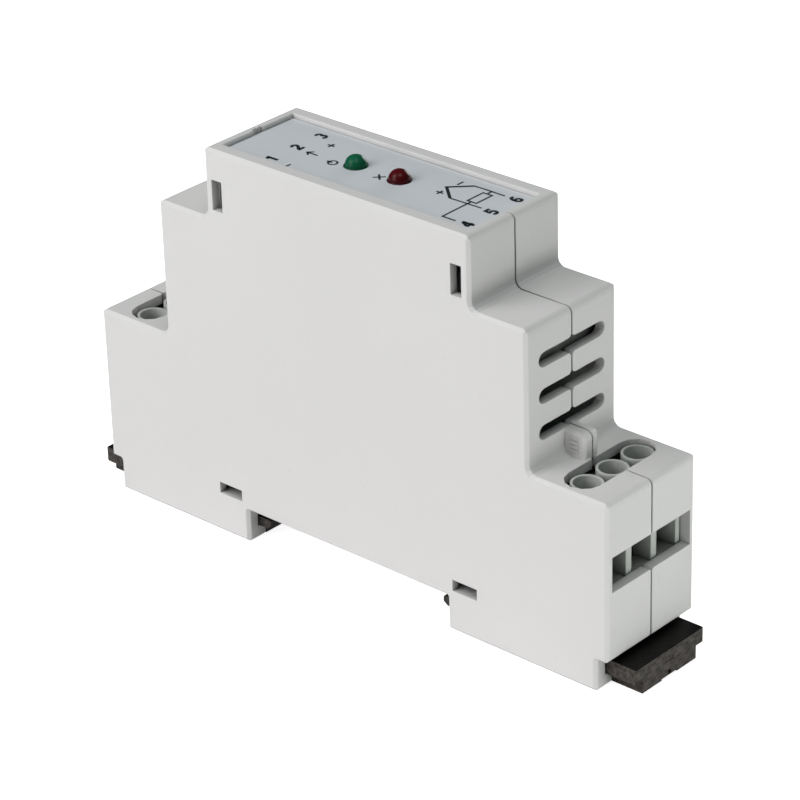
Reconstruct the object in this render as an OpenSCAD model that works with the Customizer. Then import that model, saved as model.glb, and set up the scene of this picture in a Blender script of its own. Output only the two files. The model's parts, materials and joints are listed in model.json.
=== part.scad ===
// Signal conditioner in a one-module housing for a 35 mm top-hat rail.
// X runs along the length, Y across the module width and Z up from the feet.
// The origin is on the standing plane, under the middle of the housing.

/* [Housing outline] */
// Width of the housing, one rail module
module_w = 17.5; // [17:0.1:19]
// Length of the front face, which passes a standard panel cut-out
front_len = 45; // [44:0.5:50]
// Length over the two shoulders that carry the vents
shoulder_len = 62.8; // [60:0.2:70]
// Length over the two wire end faces
body_len = 88; // [86:0.5:100]
// Height of the front face above the feet
front_h = 56.8; // [55:0.1:66]
// Height of the shoulders above the feet
shoulder_h = 46.9; // [44:0.1:48]
// Height of the terminal shelves above the feet
shelf_h = 27.2; // [27:0.1:29]
// Height of the lower edge of the end faces above the feet
end_face_low = 4.6; // [4.5:0.1:5]
// Radius of the outer corners of the side outline
corner_r = 0.8; // [0.3:0.1:1.2]
// Radius of the inner corners of the side outline
inner_corner_r = 1.1; // [0.4:0.1:1.6]
// Width of the bevel between the side faces and the narrow faces
edge_bevel = 0.45; // [0.2:0.05:0.7]

/* [Housing walls] */
// Thickness of the two large side walls
side_wall = 1.2; // [1:0.05:1.4]
// Thickness of the narrow walls round the outline
rim_wall = 1.4; // [1.1:0.05:1.6]
// Thickness of the side walls beside the terminal blocks
bay_wall = 0.9; // [0.7:0.05:0.95]
// Thickness of the floor over the rail recess
floor_t = 1.15; // [0.9:0.05:1.4]
// Gap between the two shells along the seam
seam_gap = 0.04; // [0.02:0.01:0.1]
// How far each shell is cut back from the seam by the groove along it
seam_groove = 0.13; // [0.05:0.01:0.3]
// Depth of the groove along the seam
seam_depth = 0.4; // [0.2:0.05:0.5]

/* [Rail seat and feet] */
// Width of the rail that the housing sits on
rail_w = 35; // [34.8:0.1:35.2]
// Clearance between the rail and each foot
rail_clear = 0.2; // [0.1:0.05:0.4]
// Height of the rail seat above the feet
rail_seat_h = 4.85; // [4.6:0.05:5.2]
// How far each foot is set back from its end face
foot_setback = 1.8; // [1:0.1:2.6]
// Thickness of the foot side walls
foot_wall = 1.8; // [1.5:0.05:2]
// How far the guide lip reaches in past the foot side wall
lip_reach = 1.35; // [1:0.05:1.6]
// Height of the guide lip
lip_h = 1.8; // [1.5:0.05:2]
// Rounding of the guide lip
lip_r = 0.5; // [0.2:0.05:0.7]

/* [Vents and wire windows] */
// Number of vent slots in each shoulder wall
vent_count = 3; // [1:1:3]
// Height of a vent slot
vent_h = 2.1; // [1.4:0.1:2.6]
// Length of a vent slot across the module
vent_len = 12.8; // [9:0.1:13.4]
// Distance from one vent slot to the next
vent_pitch = 5; // [4:0.1:5.2]
// Height of the lowest vent slot above the terminal shelf
vent_first = 4.6; // [4:0.1:4.8]
// Width of the wire window in each end face
window_w = 15.6; // [14.6:0.1:15.6]
// Height of the lower edge of the wire window above the feet
window_low = 14.6; // [14.3:0.1:14.9]
// Height of the upper edge of the wire window above the feet
window_high = 19.6; // [19:0.1:19.8]

/* [Terminals] */
// Distance from one terminal to the next
terminal_pitch = 5; // [4.9:0.05:5]
// Distance of the terminal screws from the end face
screw_from_end = 6.2; // [6.1:0.05:6.4]
// Setback of the block front behind the end face
block_setback = 1.65; // [1.6:0.05:2.2]
// Depth of the terminal block along the housing
block_depth = 8.85; // [8.6:0.05:9]
// Height of the terminal block
block_h = 12.3; // [12.1:0.05:12.4]
// Gap between the terminal block and the underside of the shelf
block_top_gap = 1.5; // [1.4:0.05:1.6]
// Outer diameter of the screwdriver collars
collar_d = 4.25; // [4.15:0.05:4.6]
// Bore of the screwdriver collars
collar_bore = 3.55; // [3.5:0.05:3.6]
// Depth of the collar rims below the shelf
collar_drop = 0.4; // [0:0.1:0.8]
// Clearance at the two ends of the shelf slot that the collars stand in
slot_end_gap = 0.55; // [0.2:0.05:0.6]
// Clearance of the shelf slots on the right of the collars
slot_right_gap = 0.05; // [0.05:0.05:0.3]
// Clearance of the shelf slots on the left of the collars
slot_left_gap = 0.75; // [0.2:0.05:0.9]
// Thickness of the partitions between the terminals
partition_t = 1.1; // [1:0.05:1.2]

/* [Clamps] */
// Diameter of the clamp screw shank
screw_d = 2.5; // [2.3:0.1:2.5]
// Diameter of the clamp screw head
screw_head_d = 3.4; // [3.2:0.05:3.4]
// Height of the clamp screw head
screw_head_h = 1.5; // [1:0.1:1.8]
// Depth of the screw head seat below the shelf
screw_seat_drop = 4.7; // [4.5:0.1:4.8]
// Thread pitch of the clamp screw
thread_pitch = 0.45; // [0.35:0.05:0.45]
// Turns of the screw from open to closed
screw_turns = 6; // [4:1:6]
// Running clearance round the screw in the cage and the guide
screw_clear = 0.05; // [0.03:0.01:0.08]
// Wall of the cage beside the wire
cage_wall = 0.5; // [0.4:0.05:0.55]
// Depth of the cage along the wire
cage_depth = 3.6; // [3.2:0.1:3.8]
// Thickness of the threaded top of the cage
cage_top_t = 1.5; // [1.2:0.05:1.5]
// Thickness of the bottom of the cage
cage_bottom_t = 0.8; // [0.5:0.05:0.8]
// Clearance of the cage in its cavity
cage_clear = 0.1; // [0.05:0.01:0.15]
// Thickness of the contact bar
contact_t = 0.7; // [0.5:0.05:0.75]
// Width of the contact tails
tail_w = 1; // [0.7:0.05:1.1]

/* [Rail clips] */
// How far a clip stands out past the end face
clip_reach = 3; // [2.8:0.1:5]
// How far the tongue reaches into the rail recess
tongue_reach = 2.3; // [1.8:0.1:2.4]
// Height of the top of the clip plate above the feet
clip_top = 4.15; // [3.9:0.05:4.2]
// Height of the tongue top above the feet, under the rail
tongue_top = 3.3; // [3:0.05:3.5]
// Gap between the clip and the standing plane
clip_lift = 0.1; // [0.05:0.05:0.3]
// Sliding clearance of the clip in its channel
clip_clear = 0.15; // [0.08:0.01:0.2]
// Travel of the clip from closed to open
clip_travel = 2.5; // [2.4:0.05:2.8]
// Thickness of the clip under the spring pocket
pocket_floor = 0.8; // [0.5:0.05:1]
// Outer diameter of the clip spring
spring_d = 2.8; // [2.2:0.1:2.8]
// Wire diameter of the clip spring
spring_wire = 0.32; // [0.25:0.01:0.45]
// Free turns of the clip spring
spring_coils = 9; // [6:1:11]
// Length of the clip spring with the clip closed
spring_len = 9; // [8:0.5:10]
// Thickness of the rib that the spring pushes on
spring_rib_t = 1.4; // [1:0.1:2]

/* [Front label and lamps] */
// Depth of the label surface below the rim of the front face
label_drop = 0.6; // [0.45:0.05:1]
// Thickness of the front label
label_t = 0.5; // [0.3:0.05:0.8]
// Width of the rim beside the label on the long sides
label_rim_side = 2.2; // [1.6:0.1:2.4]
// Width of the rim beside the label at the short ends
label_rim_end = 1.6; // [1.2:0.1:2]
// Clearance round the label in its recess
label_clear = 0.15; // [0.05:0.05:0.3]
// Place of the green lamp along the housing
green_lamp_x = -3.8; // [-8:0.1:-3]
// Place of the red lamp along the housing
red_lamp_x = 3.6; // [3:0.1:8]
// Diameter of the lamps
lamp_d = 3; // [2.6:0.1:3.2]
// Length of a lamp from its dome to its flange
lamp_len = 5.3; // [4.6:0.1:5.6]
// Clearance round the lamps in the front
lamp_clear = 0.15; // [0.08:0.01:0.25]

/* [Circuit board] */
// Thickness of the circuit board
board_t = 1.6; // [1.2:0.1:1.7]
// Gap between the board and the near side wall, for the solder joints
solder_gap = 0.95; // [0.85:0.05:1.05]
// Clearance round the edge of the board
board_clear = 0.4; // [0.25:0.05:0.6]
// Diameter of the board posts
post_d = 4.4; // [3.6:0.1:4.8]
// Diameter of the pins that locate the board
post_pin_d = 2.2; // [1.8:0.1:2.4]
// Clearance round the locating pins
pin_clear = 0.1; // [0.05:0.01:0.15]

/* [Hidden] */

// A cut runs this far past the face that it opens
over = 1;
// A rib or boss is rooted this deep in the wall that carries it
root = 0.3;
arc_steps = 3;
foot_r = 0.5;
seat_corner_r = 0.2;
least_r = 0.05;

half_w = module_w / 2;
front_x = front_len / 2;
shoulder_x = shoulder_len / 2;
end_x = body_len / 2;
recess_x = rail_w / 2 + rail_clear;
foot_x = end_x - foot_setback;
foot_in = half_w - foot_wall;
lip_in = foot_in - lip_reach;
channel_top = clip_top + clip_clear;
floor_z = rail_seat_h + floor_t;
label_top = front_h - label_drop;
label_seat = label_top - label_t;
front_under = label_seat - side_wall;
shoulder_under = shoulder_h - rim_wall;
shelf_under = shelf_h - rim_wall;
inner_y = half_w - side_wall;
bay_y = half_w - bay_wall;

// Terminal block and clamp levels, from the shelf down
screw_x = end_x - screw_from_end;
block_front = end_x - block_setback;
block_rear = block_front - block_depth;
block_top = shelf_under - block_top_gap;
block_low = block_top - block_h;
block_y = bay_y - 0.1;
collar_top = shelf_h - collar_drop;
seat_z = shelf_h - screw_seat_drop;
axial_play = 0.03;
guide_t = 1;
guide_low = seat_z - guide_t;
cage_travel = screw_turns * thread_pitch;
cage_w = terminal_pitch - partition_t - 2 * cage_clear;
cavity_w = cage_w + 2 * cage_clear;
cage_up_gap = 0.1;
cage_high = guide_low - cage_up_gap - cage_travel;
wire_gap_play = 0.05;
bar_top = cage_high - cage_top_t - wire_gap_play;
bar_low = bar_top - contact_t;
cage_floor = bar_low - wire_gap_play - cage_travel;
cage_low = cage_floor - cage_bottom_t;
bar_w = cage_w - 2 * cage_wall - 0.2;
bar_clear = 0.05;
screw_hole_d = screw_d + 2 * screw_clear;
entry_low = window_low - 0.4;
entry_high = window_high + 0.3;

// Circuit board plane, from the near side wall inwards
solder_face = -inner_y + solder_gap;
part_face = solder_face + board_t;
board_low = floor_z + 2;
board_side_x = block_rear - 0.3;
tail_step = 1.4;
tail_first = 1.3;
tail_through = 0.55;
tail_hole_d = tail_w + 0.35;
post_x = shoulder_x - rim_wall - post_d / 2 - 0.8;
post_low_z = board_low + 3;
post_high_z = shoulder_under - 5.5;
post_pin_len = 0.7;
pin_hole_d = post_pin_d + 2 * pin_clear;
board_mid_x = shoulder_x - rim_wall - board_clear;
board_top_x = front_x - rim_wall - 3.9;
board_mid_z = shelf_under - board_clear;
board_high_z = shoulder_under - board_clear;
board_top_z = front_under - board_clear;

// Parts on the board: their sizes, and how far they lie from the edges of the board
input_can_d = 8;
input_can_h = 11;
input_can_in = 15.6;
input_can_drop = 9.1;
input_can_at = [-board_mid_x + input_can_in, board_high_z - input_can_drop];
output_can_d = 6.3;
output_can_h = 8;
output_can_in = 9.2;
output_can_drop = 4;
output_can_at = [-board_side_x + output_can_in, board_mid_z - output_can_drop];
can_groove_z = 1.5;
can_groove = 0.3;
regulator_in = 20.2;
regulator_rise = 11;
regulator_at = [-board_side_x + regulator_in, board_low + regulator_rise];
transistor_x = -2.5;
transistor_drop = 10.1;
transistor_at = [transistor_x, board_high_z - transistor_drop];
converter_x = 6;
converter_rise = 15;
converter_at = [converter_x, board_low + converter_rise];
converter_len = 10.3;
converter_w = 7.5;
converter_h = 2.3;
converter_leads = 8;
film_w = 7.2;
film_t = 2.6;
film_h = 6.5;
film_x = 9;
film_rise = 4.5;
film_at = [film_x, board_low + film_rise];
film_pitch = 8.5;
resistor_d = 2.3;
resistor_len = 6.2;
resistor_wire = 0.5;
resistor_cap = 1.2;
resistor_waist = 0.25;
resistor_x = 7;
resistor_drop = 4.4;
resistor_at = [resistor_x, board_high_z - resistor_drop];
resistor_pitch = 3.4;
amplifier_x = 15;
amplifier_drop = 7.2;
amplifier_at = [amplifier_x, resistor_at[1] - amplifier_drop];
amplifier_len = 4.9;
amplifier_w = 3.9;
amplifier_h = 1.5;
amplifier_leads = 4;
diode_len = 4.4;
diode_w = 2.6;
diode_h = 2.1;
diode_pitch = 4.2;
diode_rise = 10.5;
diode_mid_in = 5.1;
diode_side_in = 8.7;
diode_at = [min(board_mid_x - diode_mid_in, board_side_x - diode_side_in), board_low + diode_rise];
sensor_d = 4.6;
sensor_h = 4.4;
sensor_in = 3;
sensor_drop = 3.9;
sensor_at = [board_side_x - sensor_in, board_mid_z - sensor_drop];

// Bevels of the slot, window and tab corners
slot_bevel = 0.5;
window_bevel = 0.35;
tab_near_bevel = 0.4;
tab_far_bevel = 0.15;

// Snap arms of the far shell and their catches in the near shell
arm_t = 1;
arm_gap = 0.1;
catch_t = 0.55;
top_arm_x = front_x - rim_wall - catch_t - arm_gap;
top_arm_w = (front_under - shoulder_h) / 2;
top_arm_z = (front_under + shoulder_h) / 2 - 0.3;
low_arm_z = floor_z + catch_t + arm_gap;
low_arm_w = 3.6;
low_arm_x = recess_x + 3.05;
catch_y = -inner_y + 4;
catch_len = 1.2;
nose_len = 1.45;
nose_gap = 0.05;
window_margin = 0.25;

// Bevel inside the rim round the label, and the pry notch in its left end
rim_bevel = 0.12;
notch_depth = 0.35;
notch_w = 1.8;
notch_sink = 0.3;

// Finger tab at the foot of each vent wall
tab_reach = 3.2;
tab_h = 3.5;
tab_near_t = 1.45;
tab_far_t = 0.85;
tab_joint = 0.05;
tab_r = 0.9;
tab_step = 0.15;
tab_ribs = 4;
tab_rib_t = 0.12;
tab_rib_h = 0.28;
tab_rib_first = 0.75;
tab_rib_pitch = 0.6;

// Spring pocket of each clip and the housing rib in it
plate_low = lip_h + 0.1;
clip_half = foot_in - clip_clear;
clip_core_half = lip_in - 0.2;
clip_end = end_x + clip_reach;
clip_tip = recess_x - tongue_reach;
rib_out = foot_x - 9.2;
rib_in = rib_out - spring_rib_t;
rib_half = 3;
rib_low = clip_lift + pocket_floor + 0.2;
pocket_half = spring_d / 2 + 0.4;
wide_pocket_half = rib_half + 0.2;
stop_gap = 0.05;
spring_z = (clip_lift + pocket_floor + channel_top) / 2;

// Edges of the clip and the marks on its outer face
clip_bevel = 0.1;
tongue_bevel = 0.2;
tongue_lead = 0.5;
tongue_ramp = 0.8;
clip_mark_d = 0.7;
clip_mark_z = 0.8;
clip_mark_depth = 0.5;
panel_low = plate_low + 0.5;
panel_h = 0.5;
panel_half = 0.8;
panel_depth = 0.1;
pull_half = 1.6;
pull_h = 0.3;
notch_reach = 0.6;

housing_grey = [0.86, 0.86, 0.85];
block_grey = [0.62, 0.64, 0.62];
label_grey = [0.70, 0.73, 0.76];
clip_black = [0.13, 0.13, 0.12];
steel = [0.75, 0.76, 0.78];
tinned = [0.80, 0.78, 0.70];
board_green = [0.09, 0.33, 0.20];

// Side outline of the housing
// Each corner holds its place, the normals of its two edges, its radius,
// 1 for an outer and -1 for an inner corner, and the arc angles
right_corners = [
    [front_x, front_h, 1, 1, corner_r, 1, 90, 0],
    [front_x, shoulder_h, 1, 1, inner_corner_r, -1, 0, 90],
    [shoulder_x, shoulder_h, 1, 1, corner_r, 1, 90, 0],
    [shoulder_x, shelf_h, 1, 1, inner_corner_r, -1, 0, 90],
    [end_x, shelf_h, 1, 1, corner_r, 1, 90, 0],
    [end_x, end_face_low, 1, -1, corner_r, 1, 0, -90],
    [foot_x, end_face_low, 1, -1, seat_corner_r, -1, -90, 0],
    [foot_x, 0, 1, -1, foot_r, 1, 0, -90],
    [recess_x, 0, -1, -1, foot_r, 1, -90, -180],
    [recess_x, rail_seat_h, -1, -1, seat_corner_r, -1, -180, -90]
];

function mirrored(c) = [-c[0], c[1], -c[2], c[3], c[4], c[5], 180 - c[7], 180 - c[6]];

all_corners = concat(
    right_corners,
    [for (i = [len(right_corners) - 1 : -1 : 0]) mirrored(right_corners[i])]
);

function corner_points(c, inset) =
    let (x = c[0] - inset * c[2], z = c[1] - inset * c[3], s = c[5], r = max(least_r, c[4] - s * inset))
    [for (k = [0 : arc_steps])
        let (a = c[6] + (c[7] - c[6]) * k / arc_steps)
        [x - s * r * c[2] + s * r * cos(a), z - s * r * c[3] + s * r * sin(a)]];

function outline(inset) = [for (c = all_corners) each corner_points(c, inset)];

// Plate of the side outline between two places along Y
module outline_plate(y0, y1, inset) {
    translate([0, y1, 0]) rotate([90, 0, 0]) linear_extrude(y1 - y0) polygon(outline(inset));
}

// Cutter that bevels one straight edge of the side face, between two corners
module edge_cutter(c, next) {
    run = [next[0] - c[0], next[1] - c[1]];
    span = norm(run);
    start = c[5] > 0 ? -over : c[4];
    stop = next[5] > 0 ? span + over : span - next[4];
    translate([c[0], 0, c[1]]) rotate([0, -atan2(run[1], run[0]), 0])
        translate([start, 0, 0]) rotate([90, 0, 90]) linear_extrude(stop - start)
            polygon([
                [-half_w - over, -edge_bevel - over],
                [-half_w + edge_bevel + over, over],
                [-half_w - over, over]
            ]);
}

// Cutter that bevels the side face round one inner corner
module corner_cutter(c) {
    translate([c[0] + c[4] * c[2], -half_w - over, c[1] + c[4] * c[3]]) rotate([-90, 0, 0])
        cylinder(r1 = c[4] + edge_bevel + over, r2 = c[4], h = edge_bevel + over, $fn = 4 * arc_steps);
}

// Outer form of the shell on the near side: bevelled along its side face
// and stepped back along the seam
module half_form() {
    difference() {
        union() {
            outline_plate(-half_w, -seam_gap / 2 - seam_groove, 0);
            outline_plate(-seam_gap / 2 - seam_groove, -seam_gap / 2, seam_depth);
        }
        for (i = [0 : len(all_corners) - 1])
            edge_cutter(all_corners[i], all_corners[(i + 1) % len(all_corners)]);
        for (c = all_corners)
            if (c[5] < 0) corner_cutter(c);
    }
}

// Shapes that stand on both ends are drawn on the right and mirrored
module both_ends() {
    children();
    mirror([1, 0, 0]) children();
}

// Box between two corners
module box(low, high) {
    translate(low) cube(high - low);
}

// Inside of the housing, open at the seam
module half_cavity() {
    translate([0, over, 0]) rotate([90, 0, 0]) linear_extrude(inner_y + over)
        polygon([
            [front_x - rim_wall, front_under],
            [front_x - rim_wall, shoulder_under],
            [shoulder_x - rim_wall, shoulder_under],
            [shoulder_x - rim_wall, shelf_under],
            [end_x - rim_wall, shelf_under],
            [end_x - rim_wall, floor_z],
            [-(end_x - rim_wall), floor_z],
            [-(end_x - rim_wall), shelf_under],
            [-(shoulder_x - rim_wall), shelf_under],
            [-(shoulder_x - rim_wall), shoulder_under],
            [-(front_x - rim_wall), shoulder_under],
            [-(front_x - rim_wall), front_under]
        ]);
}

// Deeper pocket beside a terminal block
module half_bay() {
    box([block_rear - 0.2, -bay_y, block_low - 0.05],
        [end_x - rim_wall - 0.05, -inner_y + over, shelf_under - 0.05]);
}

// Guide channel of a rail clip, with the rounded lips beside it
module half_clip_channel() {
    lip_arc = [for (k = [0 : arc_steps])
        let (a = 90 * k / arc_steps)
        [-lip_in - lip_r + lip_r * sin(a), lip_h - lip_r + lip_r * cos(a)]];
    low_arc = [for (k = [0 : arc_steps])
        let (a = 90 * k / arc_steps)
        [-lip_in - lip_r + lip_r * cos(a), lip_r - lip_r * sin(a)]];
    translate([recess_x - over, 0, 0]) rotate([90, 0, 90])
        linear_extrude(foot_x - recess_x + 2 * over)
            polygon(concat(
                [[over, -over], [over, channel_top], [-foot_in, channel_top], [-foot_in, lip_h]],
                lip_arc, low_arc,
                [[-lip_in - lip_r, -over]]
            ));
}

// Outline of a slot that is open at the seam and has one round end
function slot_outline(reach, r) = concat(
    [[over, -r], [over, r]],
    [for (k = [0 : 2 * arc_steps])
        let (a = 90 + 180 * k / (2 * arc_steps))
        [-(reach - r) + r * cos(a), r * sin(a)]]
);

// Vent slots of one shoulder wall, with bevelled corners at the seam
module half_vents() {
    r = vent_h / 2;
    b = slot_bevel;
    for (i = [0 : vent_count - 1])
        translate([shoulder_x - rim_wall - over, 0, shelf_h + vent_first + i * vent_pitch])
            rotate([90, 0, 90]) linear_extrude(rim_wall + 2 * over) union() {
                polygon(slot_outline(vent_len / 2, r));
                polygon([[-b, -r], [-b, r], [0, r + b], [over, r + b], [over, -r - b], [0, -r - b]]);
            }
}

// Slot in the shelf that the screwdriver collars stand in, at the right end for side 1 and
// at the left end for side -1, and further open on the left of the collars
module half_collar_slot(side) {
    b = slot_bevel;
    r = (collar_d + slot_right_gap + slot_left_gap) / 2;
    shift = (slot_left_gap - slot_right_gap) / 2;
    translate([side * screw_x - shift, 0, shelf_under - over]) rotate([0, 0, 90])
        linear_extrude(rim_wall + 2 * over) union() {
            polygon(slot_outline(terminal_pitch + collar_d / 2 + slot_end_gap, r));
            polygon([[-b, r - over], [-b, r], [0, r + b], [over, r + b], [over, r - over]]);
        }
}

// Wire window of one end face, with a bevelled sill corner at the seam
module half_window() {
    b = window_bevel;
    translate([end_x - rim_wall - over, 0, 0]) rotate([90, 0, 90]) linear_extrude(rim_wall + 2 * over)
        polygon([
            [over, window_low - b], [0, window_low - b], [-b, window_low], [-window_w / 2, window_low],
            [-window_w / 2, window_high], [over, window_high]
        ]);
}

// Half profile of the label recess across one direction, widening over its rim bevel
function recess_profile(reach) = [
    [0, label_seat], [reach, label_seat], [reach, front_h - rim_bevel],
    [reach + rim_bevel + over, front_h + over], [0, front_h + over]
];

// Recess for the label, its pry notch and the lamp holes
module half_label_recess() {
    recess_end = front_x - label_rim_end;
    recess_side = half_w - label_rim_side;
    intersection() {
        translate([0, over, 0]) rotate([90, 0, 0]) linear_extrude(half_w + over) union() {
            polygon(recess_profile(recess_end));
            mirror([1, 0]) polygon(recess_profile(recess_end));
        }
        translate([-front_x, 0, 0]) rotate([90, 0, 90]) linear_extrude(front_len) union() {
            mirror([1, 0]) polygon(recess_profile(recess_side));
            translate([-over, label_seat]) square([2 * over, front_h + over - label_seat]);
        }
    }
    box([-recess_end - notch_depth, -notch_w / 2, label_top - notch_sink],
        [-recess_end + over, over, front_h + over]);
    for (x = [green_lamp_x, red_lamp_x])
        translate([x, 0, front_under - over])
            cylinder(d = lamp_d + 2 * lamp_clear, h = side_wall + 2 * over, $fn = 40);
}

// Half of the finger tab on the near side: from the seam gap outwards, with a rounded
// corner at its end and bevels round its outer face
module tab_plate(gap, thick, grow, bevel) {
    x0 = shoulder_x - root;
    x1 = shoulder_x + tab_reach + grow;
    z0 = shelf_h - root;
    z1 = shelf_h + tab_h + grow;
    y0 = -gap - thick;
    corner = [for (k = [0 : arc_steps])
        let (a = 90 - 90 * k / arc_steps)
        [x1 - tab_r + tab_r * cos(a), z1 - tab_r + tab_r * sin(a)]];
    intersection() {
        translate([0, -gap, 0]) rotate([90, 0, 0]) linear_extrude(thick)
            polygon(concat([[x0, z0], [x0, z1]], corner, [[x1, z0]]));
        translate([0, 0, z0]) linear_extrude(z1 - z0)
            polygon([[x0, y0], [x1 - bevel, y0], [x1, y0 + bevel], [x1, -gap], [x0, -gap]]);
        translate([x0, 0, 0]) rotate([90, 0, 90]) linear_extrude(x1 - x0)
            polygon([[y0, z0], [-gap, z0], [-gap, z1], [y0 + bevel, z1], [y0, z1 - bevel]]);
    }
}

// Short grip ribs on the near face of the finger tab
module tab_grip() {
    face = -tab_joint - tab_near_t;
    for (k = [0 : tab_ribs - 1]) {
        z = shelf_h + tab_rib_first + tab_rib_pitch * k;
        box([shoulder_x + tab_reach * 0.28, face - tab_rib_t, z],
            [shoulder_x + tab_reach * 0.72, face + root, z + tab_rib_h]);
    }
}

// Ledge that carries one side of a terminal block
module half_block_ledge() {
    box([block_rear - 0.2, -inner_y - root, block_low - 1.05],
        [end_x - rim_wall + root, -inner_y + 2.6, block_low - 0.05]);
}

// Rib in the clip channel that the spring pushes on
module half_spring_rib() {
    box([rib_in, -rib_half, rib_low], [rib_out, -seam_gap / 2, channel_top + root]);
}

// What both shells share, drawn on the near side
module half_shell() {
    difference() {
        half_form();
        half_cavity();
        both_ends() {
            half_bay();
            half_clip_channel();
            half_vents();
            half_window();
        }
        for (side = [-1, 1]) half_collar_slot(side);
        half_label_recess();
    }
    both_ends() {
        half_block_ledge();
        half_spring_rib();
    }
}

// Places of the board posts as X and Z
post_places = [for (x = [-post_x, post_x]) for (z = [post_low_z, post_high_z]) [x, z]];

// Round part along Y from y0 to y1
module y_round(x, z, y0, y1, d, fn = 40) {
    translate([x, y1, z]) rotate([90, 0, 0]) cylinder(d = d, h = y1 - y0, $fn = fn);
}

module near_shell() color(housing_grey) {
    difference() {
        union() {
            half_shell();
            for (p = post_places)
                y_round(p[0], p[1], -inner_y - root, solder_face, post_d);
            both_ends() {
                box([front_x - rim_wall - catch_t, catch_y, top_arm_z - top_arm_w / 2],
                    [front_x - rim_wall + root, catch_y + catch_len, top_arm_z + top_arm_w / 2]);
                box([low_arm_x - low_arm_w / 2, catch_y, floor_z - root],
                    [low_arm_x + low_arm_w / 2, catch_y + catch_len, floor_z + catch_t]);
                tab_plate(tab_joint, tab_near_t, 0, tab_near_bevel);
                tab_grip();
            }
        }
        for (p = post_places)
            y_round(p[0], p[1], solder_face - post_pin_len - 0.1, solder_face + over, pin_hole_d);
        both_ends() {
            box([top_arm_x - arm_t, -half_w - over, top_arm_z - top_arm_w / 2 - window_margin],
                [front_x - rim_wall + 0.1, -inner_y + 0.1, top_arm_z + top_arm_w / 2 + window_margin]);
            box([low_arm_x - low_arm_w / 2 - window_margin, -half_w - over, floor_z],
                [low_arm_x + low_arm_w / 2 + window_margin, -inner_y + 0.1, low_arm_z + arm_t]);
        }
    }
}

// Snap arm of a short end wall, with its nose towards the wall
module top_arm() {
    box([top_arm_x - arm_t, catch_y - nose_len, top_arm_z - top_arm_w / 2],
        [top_arm_x, inner_y + root, top_arm_z + top_arm_w / 2]);
    box([top_arm_x - root, catch_y - nose_len, top_arm_z - top_arm_w / 2],
        [top_arm_x + catch_t, catch_y - nose_gap, top_arm_z + top_arm_w / 2]);
}

// Snap arm over the floor, with its nose towards the floor
module low_arm() {
    box([low_arm_x - low_arm_w / 2, catch_y - nose_len, low_arm_z],
        [low_arm_x + low_arm_w / 2, inner_y + root, low_arm_z + arm_t]);
    box([low_arm_x - low_arm_w / 2, catch_y - nose_len, low_arm_z - catch_t],
        [low_arm_x + low_arm_w / 2, catch_y - nose_gap, low_arm_z + root]);
}

module far_shell() color(housing_grey) {
    mirror([0, 1, 0]) half_shell();
    both_ends() {
        top_arm();
        low_arm();
        mirror([0, 1, 0]) tab_plate(tab_joint, tab_far_t, tab_step, tab_far_bevel);
    }
    for (p = post_places) {
        y_round(p[0], p[1], part_face, inner_y + root, post_d);
        y_round(p[0], p[1], solder_face - post_pin_len, part_face + root, post_pin_d);
    }
}

module front_label() color(label_grey) {
    x = front_x - label_rim_end - label_clear;
    y = half_w - label_rim_side - label_clear;
    difference() {
        box([-x, -y, label_seat], [x, y, label_top]);
        for (lamp_x = [green_lamp_x, red_lamp_x])
            translate([lamp_x, 0, label_seat - over])
                cylinder(d = lamp_d + 2 * lamp_clear, h = label_t + 2 * over, $fn = 40);
    }
}

// Y places of the three terminals of an end
terminal_ys = [-terminal_pitch, 0, terminal_pitch];

// Insulating block of the right end, with collars, cavities and partitions
module terminal_block() color(block_grey) {
    difference() {
        union() {
            box([block_rear, -block_y, block_low], [block_front, block_y, block_top]);
            for (y = terminal_ys)
                translate([screw_x, y, block_top - root])
                    cylinder(d = collar_d, h = collar_top - block_top + root, $fn = 64);
        }
        for (y = terminal_ys) translate([screw_x, y, 0]) {
            translate([0, 0, seat_z]) cylinder(d = collar_bore, h = collar_top - seat_z + over, $fn = 64);
            translate([0, 0, guide_low - over]) cylinder(d = screw_hole_d, h = guide_t + 2 * over, $fn = 40);
            box([-cage_depth / 2 - cage_clear, -cavity_w / 2, cage_low - 0.15],
                [cage_depth / 2 + cage_clear, cavity_w / 2, guide_low]);
            box([0, -cavity_w / 2, entry_low], [block_front - screw_x + over, cavity_w / 2, entry_high]);
            box([block_rear - screw_x - over, -bar_w / 2 - bar_clear, bar_low - bar_clear],
                [0, bar_w / 2 + bar_clear, bar_top + bar_clear]);
        }
    }
}

module left_terminal_block() mirror([1, 0, 0]) terminal_block();

module right_terminal_block() terminal_block();

// X place of the cross run of a tail, further in for a terminal that lies further over
function tail_x(i) = block_rear - tail_first - i * tail_step;

// Three contact bars of the right end, each with its tail through the board
module contacts() color(tinned) {
    for (i = [0 : 2]) {
        y = terminal_ys[i];
        tail_y = y + bar_w / 2 - tail_w;
        box([block_rear, y - bar_w / 2, bar_low], [screw_x + cage_depth / 2 - 0.2, y + bar_w / 2, bar_top]);
        box([tail_x(i) - tail_w / 2, tail_y, bar_low], [block_rear + root, tail_y + tail_w, bar_top]);
        box([tail_x(i) - tail_w / 2, solder_face - tail_through, bar_low],
            [tail_x(i) + tail_w / 2, tail_y + root, bar_top]);
    }
}

module left_contacts() mirror([1, 0, 0]) contacts();

module right_contacts() contacts();

// Place of terminal n: 1 to 3 on the left and 4 to 6 on the right, from the near side
function terminal_x(n) = n <= 3 ? -screw_x : screw_x;
function terminal_y(n) = terminal_ys[(n - 1) % 3];

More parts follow.
